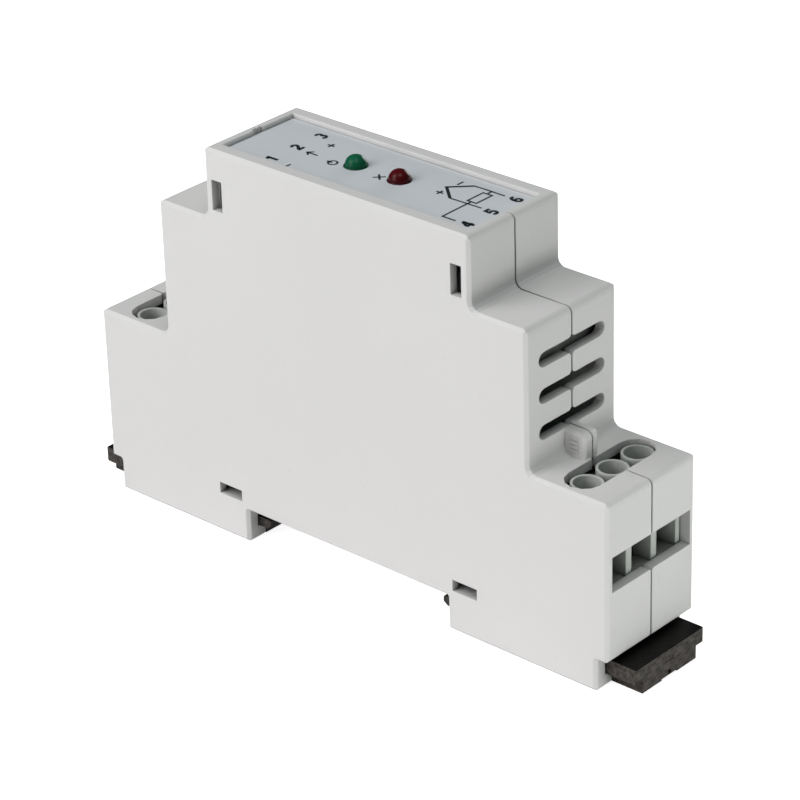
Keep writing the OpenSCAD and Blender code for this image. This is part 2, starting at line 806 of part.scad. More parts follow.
// Captive clamp screw with a cross recess and a bevelled tip
module clamp_screw(n) color(steel) {
    head_low = seat_z + axial_play;
    tip = bar_top + axial_play;
    bevel = 0.3;
    recess = 0.8;
    translate([terminal_x(n), terminal_y(n), 0]) difference() {
        rotate_extrude($fn = 48) polygon([
            [0, tip],
            [screw_d / 2 - bevel, tip],
            [screw_d / 2, tip + bevel],
            [screw_d / 2, head_low],
            [screw_head_d / 2, head_low],
            [screw_head_d / 2, head_low + screw_head_h - bevel / 2],
            [screw_head_d / 2 - bevel, head_low + screw_head_h],
            [0, head_low + screw_head_h]
        ]);
        for (a = [20, 110]) translate([0, 0, head_low + screw_head_h - recess]) rotate([0, 0, a])
            translate([-screw_head_d * 0.36, -0.28, 0]) cube([screw_head_d * 0.72, 0.56, recess + over]);
    }
}

// Clamp cage in its open place, with bevelled long edges
module clamp_cage(n) color(steel) {
    b = 0.25;
    w = cage_w / 2;
    translate([terminal_x(n), terminal_y(n), 0]) difference() {
        translate([-cage_depth / 2, 0, 0]) rotate([90, 0, 90]) linear_extrude(cage_depth)
            polygon([
                [-w + b, cage_low], [w - b, cage_low], [w, cage_low + b], [w, cage_high - b],
                [w - b, cage_high], [-w + b, cage_high], [-w, cage_high - b], [-w, cage_low + b]
            ]);
        box([-cage_depth, -w + cage_wall, cage_floor], [cage_depth, w - cage_wall, cage_high - cage_top_t]);
        translate([0, 0, cage_floor]) cylinder(d = screw_hole_d, h = cage_high - cage_floor + over, $fn = 40);
    }
}

// Sliding rail clip of the right end: a wide plate over a narrower core, with the spring
// pocket, a round mould mark, a shallow panel and a pull notch in its outer face
module rail_clip() color(clip_black) {
    spring_seat = rib_in - spring_len;
    core_in = recess_x - 0.1;
    difference() {
        union() {
            translate([0, clip_half, 0]) rotate([90, 0, 0]) linear_extrude(2 * clip_half)
                polygon([
                    [clip_tip, plate_low + tongue_lead],
                    [clip_tip + 1.4 * tongue_lead, plate_low],
                    [clip_end - clip_bevel, plate_low],
                    [clip_end, plate_low + clip_bevel],
                    [clip_end, clip_top - clip_bevel],
                    [clip_end - clip_bevel, clip_top],
                    [recess_x + 0.1 + tongue_ramp, clip_top],
                    [recess_x + 0.1, tongue_top],
                    [clip_tip + tongue_bevel, tongue_top],
                    [clip_tip, tongue_top - tongue_bevel]
                ]);
            translate([0, clip_core_half, 0]) rotate([90, 0, 0]) linear_extrude(2 * clip_core_half)
                polygon([
                    [core_in, clip_lift + tongue_bevel],
                    [core_in + tongue_bevel, clip_lift],
                    [clip_end - clip_bevel, clip_lift],
                    [clip_end, clip_lift + clip_bevel],
                    [clip_end, plate_low + root],
                    [core_in, plate_low + root]
                ]);
        }
        box([spring_seat, -pocket_half, clip_lift + pocket_floor], [rib_out, pocket_half, clip_top + over]);
        box([rib_in - clip_travel - stop_gap, -wide_pocket_half, clip_lift + pocket_floor],
            [rib_out + stop_gap, wide_pocket_half, clip_top + over]);
        translate([clip_end - clip_mark_depth, 0, clip_mark_z]) rotate([0, 90, 0])
            cylinder(d = clip_mark_d, h = over, $fn = 24);
        box([clip_end - panel_depth, -panel_half, panel_low],
            [clip_end + over, panel_half, panel_low + panel_h]);
        box([clip_end - notch_reach, -pull_half, clip_lift - over],
            [clip_end + over, pull_half, clip_lift + pull_h]);
    }
}

module left_rail_clip() mirror([1, 0, 0]) rail_clip();

module right_rail_clip() rail_clip();

// Helix of a clip spring along X
spring_sides = 6;
spring_steps = 12;
spring_r = (spring_d - spring_wire) / 2;
spring_x0 = rib_in - spring_len + spring_wire / 2 + 0.02;
spring_x1 = rib_in - spring_wire / 2 - 0.02;
spring_points = spring_coils * spring_steps;

// Ring of the wire at step t of the helix
function spring_ring(t) =
    let (a = 360 * t / spring_steps, x = spring_x0 + (spring_x1 - spring_x0) * t / spring_points)
    [for (k = [0 : spring_sides - 1])
        let (b = 360 * k / spring_sides, r = spring_r + spring_wire / 2 * cos(b))
        [x + spring_wire / 2 * sin(b), r * cos(a), spring_z + r * sin(a)]];

// Wire as a solid between rings of equal point count
module clip_spring() color(steel) {
    rings = [for (t = [spring_points : -1 : 0]) spring_ring(t)];
    n = spring_sides;
    last = len(rings) - 1;
    polyhedron(
        points = [for (ring = rings) each ring],
        faces = concat(
            [[for (i = [0 : n - 1]) n - 1 - i]],
            [for (k = [0 : last - 1]) for (i = [0 : n - 1])
                [k * n + i, k * n + (i + 1) % n, (k + 1) * n + (i + 1) % n, (k + 1) * n + i]],
            [[for (i = [0 : n - 1]) last * n + i]]
        ),
        convexity = 8
    );
}

module left_clip_spring() mirror([1, 0, 0]) clip_spring();

module right_clip_spring() clip_spring();

// Z of the bends where the lamp leads turn into the board
lamp_flange_low = label_top + lamp_d / 2 - lamp_len;
lead_bend_z = lamp_flange_low - 3;
lead_w = 0.5;
lead_half = 1.27;
lamp_flange = 0.4;

module circuit_board() color(board_green) {
    difference() {
        translate([0, part_face, 0]) rotate([90, 0, 0]) linear_extrude(board_t)
            polygon([
                [board_top_x, board_top_z], [board_top_x, board_high_z],
                [board_mid_x, board_high_z], [board_mid_x, board_mid_z],
                [board_side_x, board_mid_z], [board_side_x, board_low],
                [-board_side_x, board_low], [-board_side_x, board_mid_z],
                [-board_mid_x, board_mid_z], [-board_mid_x, board_high_z],
                [-board_top_x, board_high_z], [-board_top_x, board_top_z]
            ]);
        for (p = post_places)
            y_round(p[0], p[1], solder_face - over, part_face + over, pin_hole_d);
        both_ends() for (i = [0 : 2])
            y_round(tail_x(i), (bar_low + bar_top) / 2, solder_face - over, part_face + over,
                tail_hole_d, 24);
        for (x = [green_lamp_x, red_lamp_x]) for (s = [-1, 1])
            y_round(x + s * lead_half, lead_bend_z, solder_face - over, part_face + over, 0.9, 24);
    }
}

// Round lamp with a flange and two leads bent into the board
module lamp(x) {
    r = lamp_d / 2;
    dome_steps = 8;
    translate([x, 0, 0]) {
        rotate_extrude($fn = 48) polygon(concat(
            [[0, lamp_flange_low], [r + lamp_flange, lamp_flange_low]],
            [[r + lamp_flange, lamp_flange_low + 1], [r, lamp_flange_low + 1]],
            [for (k = [0 : dome_steps])
                let (a = 90 * k / dome_steps)
                [k == dome_steps ? 0 : r * cos(a), label_top + r * sin(a)]]
        ));
        for (s = [-1, 1]) translate([s * lead_half, 0, 0]) {
            box([-lead_w / 2, -lead_w / 2, lead_bend_z - lead_w / 2],
                [lead_w / 2, lead_w / 2, lamp_flange_low + root]);
            box([-lead_w / 2, solder_face - tail_through, lead_bend_z - lead_w / 2],
                [lead_w / 2, lead_w / 2, lead_bend_z + lead_w / 2]);
        }
    }
}

module green_lamp() color([0.06, 0.42, 0.24]) lamp(green_lamp_x);

module red_lamp() color([0.45, 0.05, 0.08]) lamp(red_lamp_x);

// Electrolytic capacitor that stands on the board, with a rolled groove
module can_capacitor(at, d, h) {
    r = d / 2;
    g = can_groove;
    z = can_groove_z;
    translate([at[0], part_face, at[1]]) rotate([-90, 0, 0]) rotate_extrude($fn = 48) polygon([
        [0, 0], [r - g, 0], [r, g], [r, z - g], [r - g, z], [r, z + g], [r, h - g], [r - g, h], [0, h]
    ]);
}

module input_capacitor() color([0.12, 0.16, 0.30]) can_capacitor(input_can_at, input_can_d, input_can_h);

module output_capacitor() color([0.12, 0.16, 0.30]) can_capacitor(output_can_at, output_can_d, output_can_h);

// Flat package with a row of formed leads along two sides
module chip(at, len_x, len_z, h, leads) {
    step = 1.27;
    lead = 0.42;
    lead_t = 0.2;
    stand = 0.15;
    reach = 1;
    translate([at[0], part_face, at[1]]) {
        box([-len_x / 2, stand, -len_z / 2], [len_x / 2, stand + h, len_z / 2]);
        for (s = [0, 1]) mirror([0, 0, s]) for (i = [0 : leads - 1]) {
            x = (i - (leads - 1) / 2) * step;
            knee = len_z / 2 + reach / 2;
            box([x - lead / 2, h / 2, len_z / 2 - root], [x + lead / 2, h / 2 + lead_t, knee]);
            box([x - lead / 2, 0, knee - lead_t], [x + lead / 2, h / 2 + lead_t, knee]);
            box([x - lead / 2, 0, knee - lead_t], [x + lead / 2, lead_t, len_z / 2 + reach]);
        }
    }
}

module converter_chip() color([0.10, 0.10, 0.11])
    chip(converter_at, converter_len, converter_w, converter_h, converter_leads);

module amplifier_chip() color([0.10, 0.10, 0.11])
    chip(amplifier_at, amplifier_len, amplifier_w, amplifier_h, amplifier_leads);

// Power package that lies on the board, with its metal tab and three leads
module tab_package(at) {
    half = 3;
    wide = 6.6;
    body_h = 1.6;
    metal_w = 5.4;
    metal_t = 0.5;
    metal_reach = 1.8;
    lead_pitch = 2.3;
    lead_w = 0.8;
    lead_t = 0.4;
    lead_low = 0.6;
    lead_reach = 1.4;
    lead_end = -half - lead_reach;
    translate([at[0], part_face, at[1]]) {
        box([-wide / 2, 0, -half], [wide / 2, body_h, half]);
        box([-metal_w / 2, 0, half - root], [metal_w / 2, metal_t, half + metal_reach]);
        for (i = [-1 : 1]) translate([i * lead_pitch, 0, 0]) {
            box([-lead_w / 2, lead_low, lead_end], [lead_w / 2, lead_low + lead_t, -half + root]);
            box([-lead_w / 2, 0, lead_end], [lead_w / 2, lead_low + lead_t, lead_end + lead_t]);
        }
    }
}

module voltage_regulator() color([0.12, 0.12, 0.13]) tab_package(regulator_at);

module output_transistor() color([0.12, 0.12, 0.13]) tab_package(transistor_at);

module film_capacitors() color([0.72, 0.22, 0.14]) {
    for (i = [0 : 1]) translate([film_at[0] + i * film_pitch, part_face, film_at[1]])
        box([-film_w / 2, 0, -film_t / 2], [film_w / 2, film_h, film_t / 2]);
}

// Resistors that lie on the board, each a waisted body on a straight wire
module precision_resistors() color([0.42, 0.62, 0.72]) {
    r = resistor_d / 2;
    end = resistor_len / 2;
    foot = end + 0.5;
    wire = resistor_wire;
    cap = end - resistor_cap;
    neck = cap - 0.4;
    for (i = [0 : 4]) translate([resistor_at[0] + i * resistor_pitch, part_face + r, resistor_at[1]]) {
        rotate_extrude($fn = 32) polygon([
            [0, -end], [r, -end], [r, -cap], [r - resistor_waist, -neck],
            [r - resistor_waist, neck], [r, cap], [r, end], [0, end]
        ]);
        translate([0, 0, -foot - 0.1]) cylinder(d = wire, h = 2 * foot + 0.2, $fn = 20);
        for (s = [-1, 1])
            box([-wire / 2, -r, s * foot - wire / 2], [wire / 2, 0.2, s * foot + wire / 2]);
    }
}

module protection_diodes() color([0.14, 0.14, 0.15]) {
    stand = 0.1;
    lead = 0.7;
    for (i = [0 : 2]) translate([diode_at[0], part_face, diode_at[1] + i * diode_pitch]) {
        box([-diode_len / 2, stand, -diode_w / 2], [diode_len / 2, stand + diode_h, diode_w / 2]);
        for (s = [-1, 1]) translate([s * (diode_len / 2 + lead / 2 - 0.2), 0, 0])
            box([-lead / 2, 0, -lead], [lead / 2, diode_h / 2, lead]);
    }
}

// Small moulded temperature sensor beside the input terminals, flat on one side
module cold_junction_sensor() color([0.10, 0.10, 0.11]) {
    stand = 1.6;
    lead = 0.44;
    translate([sensor_at[0], part_face, sensor_at[1]]) rotate([-90, 0, 0]) {
        difference() {
            translate([0, 0, stand]) cylinder(d = sensor_d, h = sensor_h, $fn = 40);
            box([-sensor_d, sensor_d * 0.3, stand - over], [sensor_d, sensor_d, stand + sensor_h + over]);
        }
        for (i = [-1 : 1]) translate([i * 1.27, 0, 0])
            box([-lead / 2, -lead / 2, 0], [lead / 2, lead / 2, stand + root]);
    }
}

near_shell();
far_shell();
front_label();
left_terminal_block();
right_terminal_block();
left_contacts();
right_contacts();
clamp_screw(1);  // clamp_screw_1
clamp_screw(2);  // clamp_screw_2
clamp_screw(3);  // clamp_screw_3
clamp_screw(4);  // clamp_screw_4
clamp_screw(5);  // clamp_screw_5
clamp_screw(6);  // clamp_screw_6
clamp_cage(1);  // clamp_cage_1
clamp_cage(2);  // clamp_cage_2
clamp_cage(3);  // clamp_cage_3
clamp_cage(4);  // clamp_cage_4
clamp_cage(5);  // clamp_cage_5
clamp_cage(6);  // clamp_cage_6
left_rail_clip();
right_rail_clip();
left_clip_spring();
right_clip_spring();
circuit_board();
green_lamp();
red_lamp();
input_capacitor();
output_capacitor();
voltage_regulator();
output_transistor();
converter_chip();
amplifier_chip();
film_capacitors();
precision_resistors();
protection_diodes();
cold_junction_sensor();
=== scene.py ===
"""Signal conditioner for a 35 mm rail: finishes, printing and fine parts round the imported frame.

Each sub-assembly is a class. Its fields are real sizes, build() makes its extra pieces and dress()
gives the frame's own pieces their finishes. Lengths are metres in the row frame: X along the
housing, Y along the rail and Z up from the feet. A fit is the share of a solid's radius that the
finer mesh in its place takes, so that it stays inside the solid.
"""

import json
import logging
import math
from dataclasses import dataclass
from enum import Enum
from typing import Iterable, Sequence

import bpy
from mathutils import Matrix, Vector
from mathutils.geometry import tessellate_polygon

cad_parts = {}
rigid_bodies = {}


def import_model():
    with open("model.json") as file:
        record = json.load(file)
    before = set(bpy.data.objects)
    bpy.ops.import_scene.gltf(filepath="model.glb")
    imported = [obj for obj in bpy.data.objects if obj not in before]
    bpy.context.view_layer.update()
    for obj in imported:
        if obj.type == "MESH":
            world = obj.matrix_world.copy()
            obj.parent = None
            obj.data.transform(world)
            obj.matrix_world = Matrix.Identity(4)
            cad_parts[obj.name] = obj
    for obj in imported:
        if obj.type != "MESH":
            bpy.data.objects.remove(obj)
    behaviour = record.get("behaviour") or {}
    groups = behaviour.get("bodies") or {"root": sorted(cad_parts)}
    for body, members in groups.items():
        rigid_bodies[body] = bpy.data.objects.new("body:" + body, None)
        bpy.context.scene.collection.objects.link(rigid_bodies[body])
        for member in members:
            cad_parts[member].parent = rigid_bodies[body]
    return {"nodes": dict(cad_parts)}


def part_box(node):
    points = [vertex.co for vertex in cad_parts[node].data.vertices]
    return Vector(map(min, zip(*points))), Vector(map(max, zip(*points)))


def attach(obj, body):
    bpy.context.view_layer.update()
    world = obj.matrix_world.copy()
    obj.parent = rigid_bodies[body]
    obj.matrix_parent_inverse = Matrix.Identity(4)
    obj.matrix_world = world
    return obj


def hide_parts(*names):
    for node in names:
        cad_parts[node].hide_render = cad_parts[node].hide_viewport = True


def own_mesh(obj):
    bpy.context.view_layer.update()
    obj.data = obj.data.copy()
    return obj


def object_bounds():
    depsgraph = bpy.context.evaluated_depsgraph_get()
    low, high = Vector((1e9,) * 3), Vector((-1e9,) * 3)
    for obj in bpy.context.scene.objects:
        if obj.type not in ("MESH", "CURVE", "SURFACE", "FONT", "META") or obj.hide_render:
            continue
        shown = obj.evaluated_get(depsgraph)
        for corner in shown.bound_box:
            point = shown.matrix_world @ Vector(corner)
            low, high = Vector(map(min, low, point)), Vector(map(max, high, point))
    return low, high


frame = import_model()
PACKED_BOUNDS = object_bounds()

MM = 0.001
LOG = logging.getLogger("signal_conditioner")
# Edges with a sharper bend than this stay sharp
SHARP_ANGLE = math.radians(32)
# Walls further away than this add no painted shade to a hollow
PAINTED_SHADE_REACH = 12 * MM
# Keeps the mitred corners of printed lines from growing too long
MITRE_LIMIT = 0.35
CORNER_SIGNS = ((-1, -1), (1, -1), (1, 1), (-1, 1))
# Turn in degrees at which each clamp screw's recess rests, by terminal number
RECESS_TURNS = {1: 20.0, 2: 65.0, 3: 38.0, 4: 12.0, 5: 51.0, 6: 74.0}
TINNED = "C8C6BE"

Point2 = tuple[float, float]
Point3 = tuple[float, float, float]
Line = tuple[Point2, ...]
Color = tuple[float, float, float, float]
Material = bpy.types.Material
Piece = bpy.types.Object
Socket = bpy.types.NodeSocket


class Side(Enum):
    """The two ends of the housing, by the sign of X."""

    LEFT = -1
    RIGHT = 1

    @property
    def label(self) -> str:
        """Name that the frame uses for this end."""
        return self.name.lower()


class Axis(Enum):
    """Axes of the row frame, by their place in a coordinate."""

    X = 0
    Y = 1
    Z = 2


def tone(code: str) -> Color:
    """Turns a display colour of six hexadecimal digits into linear light with an alpha of 1."""
    shares = [int(code[i : i + 2], 16) / 255 for i in (0, 2, 4)]
    return (*(s / 12.92 if s <= 0.04045 else ((s + 0.055) / 1.055) ** 2.4 for s in shares), 1.0)


def shade(color: Sequence[float], factor: float) -> Color:
    """Returns a linear colour made lighter or darker by a factor."""
    return (color[0] * factor, color[1] * factor, color[2] * factor, 1.0)


class NodeTree:
    """Node tree of a material or a world, with short calls to fill it."""

    def __init__(self, owner: bpy.types.ID) -> None:
        """Empties the tree of its owner.

        Args:
            owner: Material or world.
        """
        owner.use_nodes = True
        self.tree = owner.node_tree
        self.tree.nodes.clear()

    def add(self, kind: str, values: dict | None = None, **settings: object) -> bpy.types.Node:
        """Adds a node.

        Args:
            kind: Blender's name for the node type.
            values: Socket values or sockets to link from, by socket name or place.
            **settings: Properties of the node itself.

        Returns:
            The new node.
        """
        node = self.tree.nodes.new(kind)
        for key, value in settings.items():
            setattr(node, key, value)
        for key, value in (values or {}).items():
            self.feed(node.inputs[key], value)
        return node

    def feed(self, socket: Socket, value: object) -> None:
        """Links a socket to another one, or sets its constant.

        Args:
            socket: Socket to fill.
            value: Socket to link from, or a constant.
        """
        if isinstance(value, Socket):
            self.tree.links.new(value, socket)
        else:
            socket.default_value = value

    def math(self, operation: str, a: object, b: object = 0.0, clamp: bool = False) -> Socket:
        """Returns the result of a sum on two sockets or numbers."""
        node = self.add("ShaderNodeMath", {0: a, 1: b}, operation=operation, use_clamp=clamp)
        return node.outputs[0]


class NodeSheet(NodeTree):
    """One material's node tree, with short calls for the nodes that the finishes share."""

    def __init__(self, name: str) -> None:
        """Starts a material of this name with a surface shader.

        Args:
            name: Name of the material.
        """
        self.material = bpy.data.materials.new(name)
        super().__init__(self.material)
        self.surface = self.add("ShaderNodeBsdfPrincipled")
        self.add("ShaderNodeOutputMaterial", {"Surface": self.surface.outputs["BSDF"]})

    def place(self) -> Socket:
        """Returns the piece's own coordinates, which are metres in the row frame."""
        return self.add("ShaderNodeTexCoord").outputs["Object"]

    def along(self, axis: Axis) -> Socket:
        """Returns the coordinate along one axis."""
        return self.add("ShaderNodeSeparateXYZ", {0: self.place()}).outputs[axis.value]

    def noise(self, scale: float, detail: float = 2.0, stretch: Point3 = (1, 1, 1)) -> Socket:
        """Adds a noise pattern.

        Args:
            scale: How many waves of the pattern fit into a metre.
            detail: Number of finer layers.
            stretch: Scale of the pattern along each axis.

        Returns:
            The pattern's strength, from 0 to 1.
        """
        spread = self.add("ShaderNodeMapping", {"Vector": self.place(), "Scale": stretch})
        values = {"Vector": spread.outputs[0], "Scale": scale, "Detail": detail}
        return self.add("ShaderNodeTexNoise", values).outputs[0]

    def blend(self, factor: object, a: object, b: object) -> Socket:
        """Returns a colour between a and b."""
        return self.add("ShaderNodeMix", {0: factor, 6: a, 7: b}, data_type="RGBA").outputs[2]

    def vary(self, factor: object, code: str, low: float, high: float) -> Socket:
        """Returns a colour between a darker and a lighter shade of one display colour."""
        return self.blend(factor, shade(tone(code), low), shade(tone(code), high))

    def fade(
        self, value: object, low: float, high: float, start: float = 0.0, stop: float = 1.0
    ) -> Socket:
        """Returns a number that goes from low to high while a value goes from start to stop."""
        limits = {"From Min": start, "From Max": stop, "To Min": low, "To Max": high}
        return self.add("ShaderNodeMapRange", {"Value": value, **limits}).outputs[0]

    def outside(self, axis: Axis, low: float, high: float) -> Socket:
        """Tells where a coordinate lies outside two limits.

        Args:
            axis: Axis of the coordinate.
            low: Lower limit in metres.
            high: Upper limit in metres.

        Returns:
            1 below the lower and above the upper limit, and 0 between.
        """
        value = self.along(axis)
        below = self.math("LESS_THAN", value, low)
        above = self.math("GREATER_THAN", value, high)
        return self.math("ADD", below, above, clamp=True)

    def painted_hollow_shade(self, color: object, open_share: float = 0.45, depth: float = 0.03) -> Socket:
        """Paints shade into a colour where the surface lies deep in an opening.

        Args:
            color: Colour out in the open.
            open_share: Share of open sky from which the colour is left alone.
            depth: Share of the colour that is left in the deepest places.

        Returns:
            The darkened colour.
        """
        # Painted shade: the colour darkens with the share of sky that nearby walls hide
        sky = self.add("ShaderNodeAmbientOcclusion", {"Distance": PAINTED_SHADE_REACH}, samples=8)
        light = self.fade(sky.outputs["AO"], depth, 1.0, stop=open_share)
        return self.add("ShaderNodeVectorMath", {0: color, 3: light}, operation="SCALE").outputs[0]

    def relief(self, height: object, depth: float, soft_edge: float = 0.0) -> None:
        """Gives the surface a fine relief, and softens its edges.

        Args:
            height: Pattern of the relief.
            depth: Depth of the relief in metres.
            soft_edge: Radius of the softened edges in metres, 0 for none.
        """
        bump = self.add("ShaderNodeBump", {"Height": height, "Distance": depth})
        if soft_edge > 0:
            edge = self.add("ShaderNodeBevel", {"Radius": soft_edge}, samples=6)
            self.feed(bump.inputs["Normal"], edge.outputs[0])
        self.feed(self.surface.inputs["Normal"], bump.outputs[0])

    def set(self, **constants: object) -> None:
        """Sets or links sockets of the surface shader, with _ for a space in their names."""
        for key, value in constants.items():
            self.feed(self.surface.inputs[key.replace("_", " ")], value)


class Finish:
    """A kind of surface, painted with procedural nodes."""

    def build(self, name: str) -> Material:
        """Makes a material with the finish.

        Args:
            name: Name of the material.

        Returns:
            The painted material.
        """
        sheet = NodeSheet(name)
        self.paint(sheet)
        return sheet.material

    def paint(self, sheet: NodeSheet) -> None:
        """Paints the finish."""
        raise NotImplementedError


@dataclass(frozen=True)
class MouldedPlastic(Finish):
    """Moulded thermoplastic with an eroded grain, flow marks, soft edges and painted shade in its
    openings.
    """

    color: str
    roughness: float = 0.62
    mottle: float = 0.03
    grain: float = 0.012 * MM
    grain_scale: float = 3800
    soft_edge: float = 0.12 * MM
    # open_share and depth set the painted shade in openings
    open_share: float = 0.45
    depth: float = 0.03
    specks: float = 0.0
    speck_scale: float = 900
    speck_cut: float = 0.8

    def paint(self, sheet: NodeSheet) -> None:
        """Paints the finish.

        Args:
            sheet: Node tree to fill.
        """
        flow = sheet.noise(45, 3, (1, 1, 0.6))
        tint = sheet.vary(flow, self.color, 1 - self.mottle, 1 + self.mottle)
        if self.specks > 0:
            dots = sheet.math("GREATER_THAN", sheet.noise(self.speck_scale, 0), self.speck_cut)
            cover = sheet.math("MULTIPLY", dots, self.specks)
            tint = sheet.blend(cover, tint, shade(tone(self.color), 0.6))
        wear = sheet.fade(sheet.noise(160, 2), self.roughness - 0.05, self.roughness + 0.05)
        # Painted shade darkens the colour in openings
        sheet.set(Base_Color=sheet.painted_hollow_shade(tint, open_share=self.open_share, depth=self.depth))
        sheet.set(Roughness=wear, Specular_IOR_Level=0.35)
        sheet.relief(sheet.noise(self.grain_scale, 2), self.grain, self.soft_edge)


@dataclass(frozen=True)
class ClipPlastic(Finish):
    """Black glass-filled plastic, smooth on its top and lighter grey on its upright faces: part
    scuff wear, part painted light.
    """

    color: str
    # Colour of the upright faces: scuff wear and painted light
    scuff_and_light: str
    top_z: float
    streak_scale: float = 1500
    grain: float = 0.03 * MM
    grain_scale: float = 2400
    soft_edge: float = 0.1 * MM

    def paint(self, sheet: NodeSheet) -> None:
        """Paints the finish.

        Args:
            sheet: Node tree to fill.
        """
        # Upright faces are painted lighter than the top: part scuff wear, part painted light
        upright = sheet.math("LESS_THAN", sheet.along(Axis.Z), self.top_z)
        streaks = sheet.noise(self.streak_scale, 4, (1, 0.6, 1.2))
        smooth = sheet.vary(streaks, self.color, 0.85, 1.2)
        worn_and_lit = sheet.vary(sheet.fade(streaks, -1.0, 2.0), self.scuff_and_light, 0.5, 1.5)
        # Painted shade darkens the colour in openings
        sheet.set(Base_Color=sheet.painted_hollow_shade(sheet.blend(upright, smooth, worn_and_lit)))
        sheet.set(Roughness=sheet.fade(upright, 0.4, 0.6), Specular_IOR_Level=0.08)
        rough = sheet.math("ADD", streaks, sheet.noise(self.grain_scale, 3))
        sheet.relief(rough, self.grain, self.soft_edge)


@dataclass(frozen=True)
class PrintedFilm(Finish):
    """Satin film of the label, with a faint cloudiness and an even grain."""

    color: str
    roughness: float = 0.42
    grain: float = 0.004 * MM
    grain_scale: float = 5200

    def paint(self, sheet: NodeSheet) -> None:
        """Paints the finish.

        Args:
            sheet: Node tree to fill.
        """
        # Painted shade darkens the colour in openings
        sheet.set(Base_Color=sheet.painted_hollow_shade(sheet.vary(sheet.noise(90, 3), self.color, 0.97, 1.04)))
        sheen = sheet.fade(sheet.noise(500, 2), self.roughness - 0.04, self.roughness + 0.06)
        sheet.set(Roughness=sheen, Specular_IOR_Level=0.4)
        sheet.relief(sheet.noise(self.grain_scale, 1), self.grain)


@dataclass(frozen=True)
class Ink(Finish):
    """Printed ink, a little uneven in its cover."""

    color: str = "0E1216"
    grain: float = 0.002 * MM
    grain_scale: float = 6000

    def paint(self, sheet: NodeSheet) -> None:
        """Paints the finish.

        Args:
            sheet: Node tree to fill.
        """
        cover = sheet.noise(1400, 2)
        sheet.set(Base_Color=sheet.vary(cover, self.color, 0.75, 1.5), Roughness=0.5)
        sheet.relief(sheet.noise(self.grain_scale, 1), self.grain)


@dataclass(frozen=True)
class PlatedMetal(Finish):
    """Plated metal with draw marks along one axis."""

    color: str
    roughness: float = 0.32
    marks: Axis = Axis.X
    mark_scale: float = 5000
    mark_depth: float = 0.003 * MM
    mark_stretch: float = 0.08
    soft_edge: float = 0.04 * MM

    def paint(self, sheet: NodeSheet) -> None:
        """Paints the finish.

        Args:
            sheet: Node tree to fill.
        """
        stretch = tuple(self.mark_stretch if axis == self.marks else 1.0 for axis in Axis)
        lines = sheet.noise(self.mark_scale, 2, stretch)
        bloom = sheet.noise(420, 3)
        # Painted shade darkens the colour in openings
        sheet.set(Base_Color=sheet.painted_hollow_shade(sheet.vary(bloom, self.color, 0.86, 1.05)), Metallic=1.0)
        sheet.set(Roughness=sheet.fade(lines, self.roughness - 0.08, self.roughness + 0.12))
        sheet.relief(lines, self.mark_depth, self.soft_edge)


@dataclass(frozen=True)
class TintedEpoxy(Finish):
    """Glossy tinted epoxy of a lamp lens, cloudy inside, with painted light that makes it lighter
    towards its top and painted shade towards its base.
    """

    color: str
    # Lighter colour towards the top of the lens: painted light
    glow: str
    low: float
    high: float
    cloud: float = 0.35
    rise: float = 0.6

    def paint(self, sheet: NodeSheet) -> None:
        """Paints the finish.

        Args:
            sheet: Node tree to fill.
        """
        # Painted light: the colour goes from the dark base colour to the lighter top colour with
        # height, with real cloudiness mixed in
        height = sheet.fade(sheet.along(Axis.Z), 0.0, 1.0, self.low, self.high)
        cloud = sheet.math("MULTIPLY", sheet.noise(900, 3), self.cloud)
        depth = sheet.math("ADD", sheet.math("MULTIPLY", height, self.rise), cloud, clamp=True)
        sheet.set(Base_Color=sheet.blend(depth, tone(self.color), tone(self.glow)))
        sheet.set(Roughness=sheet.fade(sheet.noise(1500, 2), 0.2, 0.3), Specular_IOR_Level=0.14)
        sheet.set(Subsurface_Weight=0.15, Subsurface_Scale=0.4 * MM)
        sheet.set(Subsurface_Radius=(0.3, 0.3, 0.3))
        sheet.relief(sheet.noise(700, 1), 0.004 * MM)


@dataclass(frozen=True)
class SolderMask(Finish):
    """Glossy board lacquer with tracks that show as faint raised lines."""

    color: str = "1C6B3C"
    track_pitch: float = 1.27 * MM
    track_share: float = 0.4
    track_height: float = 0.03 * MM

    def paint(self, sheet: NodeSheet) -> None:
        """Paints the finish.

        Args:
            sheet: Node tree to fill.
        """
        zone = sheet.math("GREATER_THAN", sheet.noise(70, 0), 0.5)
        runs = []
        for axis in (Axis.X, Axis.Z):
            phase = sheet.math("FRACT", sheet.math("DIVIDE", sheet.along(axis), self.track_pitch))
            runs.append(sheet.math("LESS_THAN", phase, self.track_share))
        values = {"Factor": zone, "A": runs[0], "B": runs[1]}
        lines = sheet.add("ShaderNodeMix", values, data_type="FLOAT").outputs[0]
        weave = sheet.math("MULTIPLY", sheet.noise(2500, 1), 0.3)
        under = sheet.vary(lines, self.color, 0.8, 1.35)
        # Painted shade darkens the colour in openings
        sheet.set(Base_Color=sheet.painted_hollow_shade(sheet.blend(weave, under, shade(tone(self.color), 0.7))))
        sheet.set(Roughness=0.3, Specular_IOR_Level=0.5)
        sheet.relief(lines, self.track_height)


@dataclass(frozen=True)
class LeadedPackage(Finish):
    """Moulded body between tinned leads, told apart by their place along one axis."""

    body: str
    axis: Axis
    low: float
    high: float
    lead: str = TINNED
    grain: float = 0.01 * MM
    soft_edge: float = 0.05 * MM

    def paint(self, sheet: NodeSheet) -> None:
        """Paints the finish.

        Args:
            sheet: Node tree to fill.
        """
        ends = sheet.outside(self.axis, self.low, self.high)
        grit = sheet.noise(2600, 2)
        dark = sheet.vary(grit, self.body, 0.8, 1.3)
        tin = sheet.vary(grit, self.lead, 0.85, 1.0)
        # Painted shade darkens the colour in openings
        sheet.set(Base_Color=sheet.painted_hollow_shade(sheet.blend(ends, dark, tin)), Metallic=ends)
        sheet.set(Roughness=sheet.fade(ends, 0.6, 0.3))
        sheet.relief(grit, self.grain, self.soft_edge)


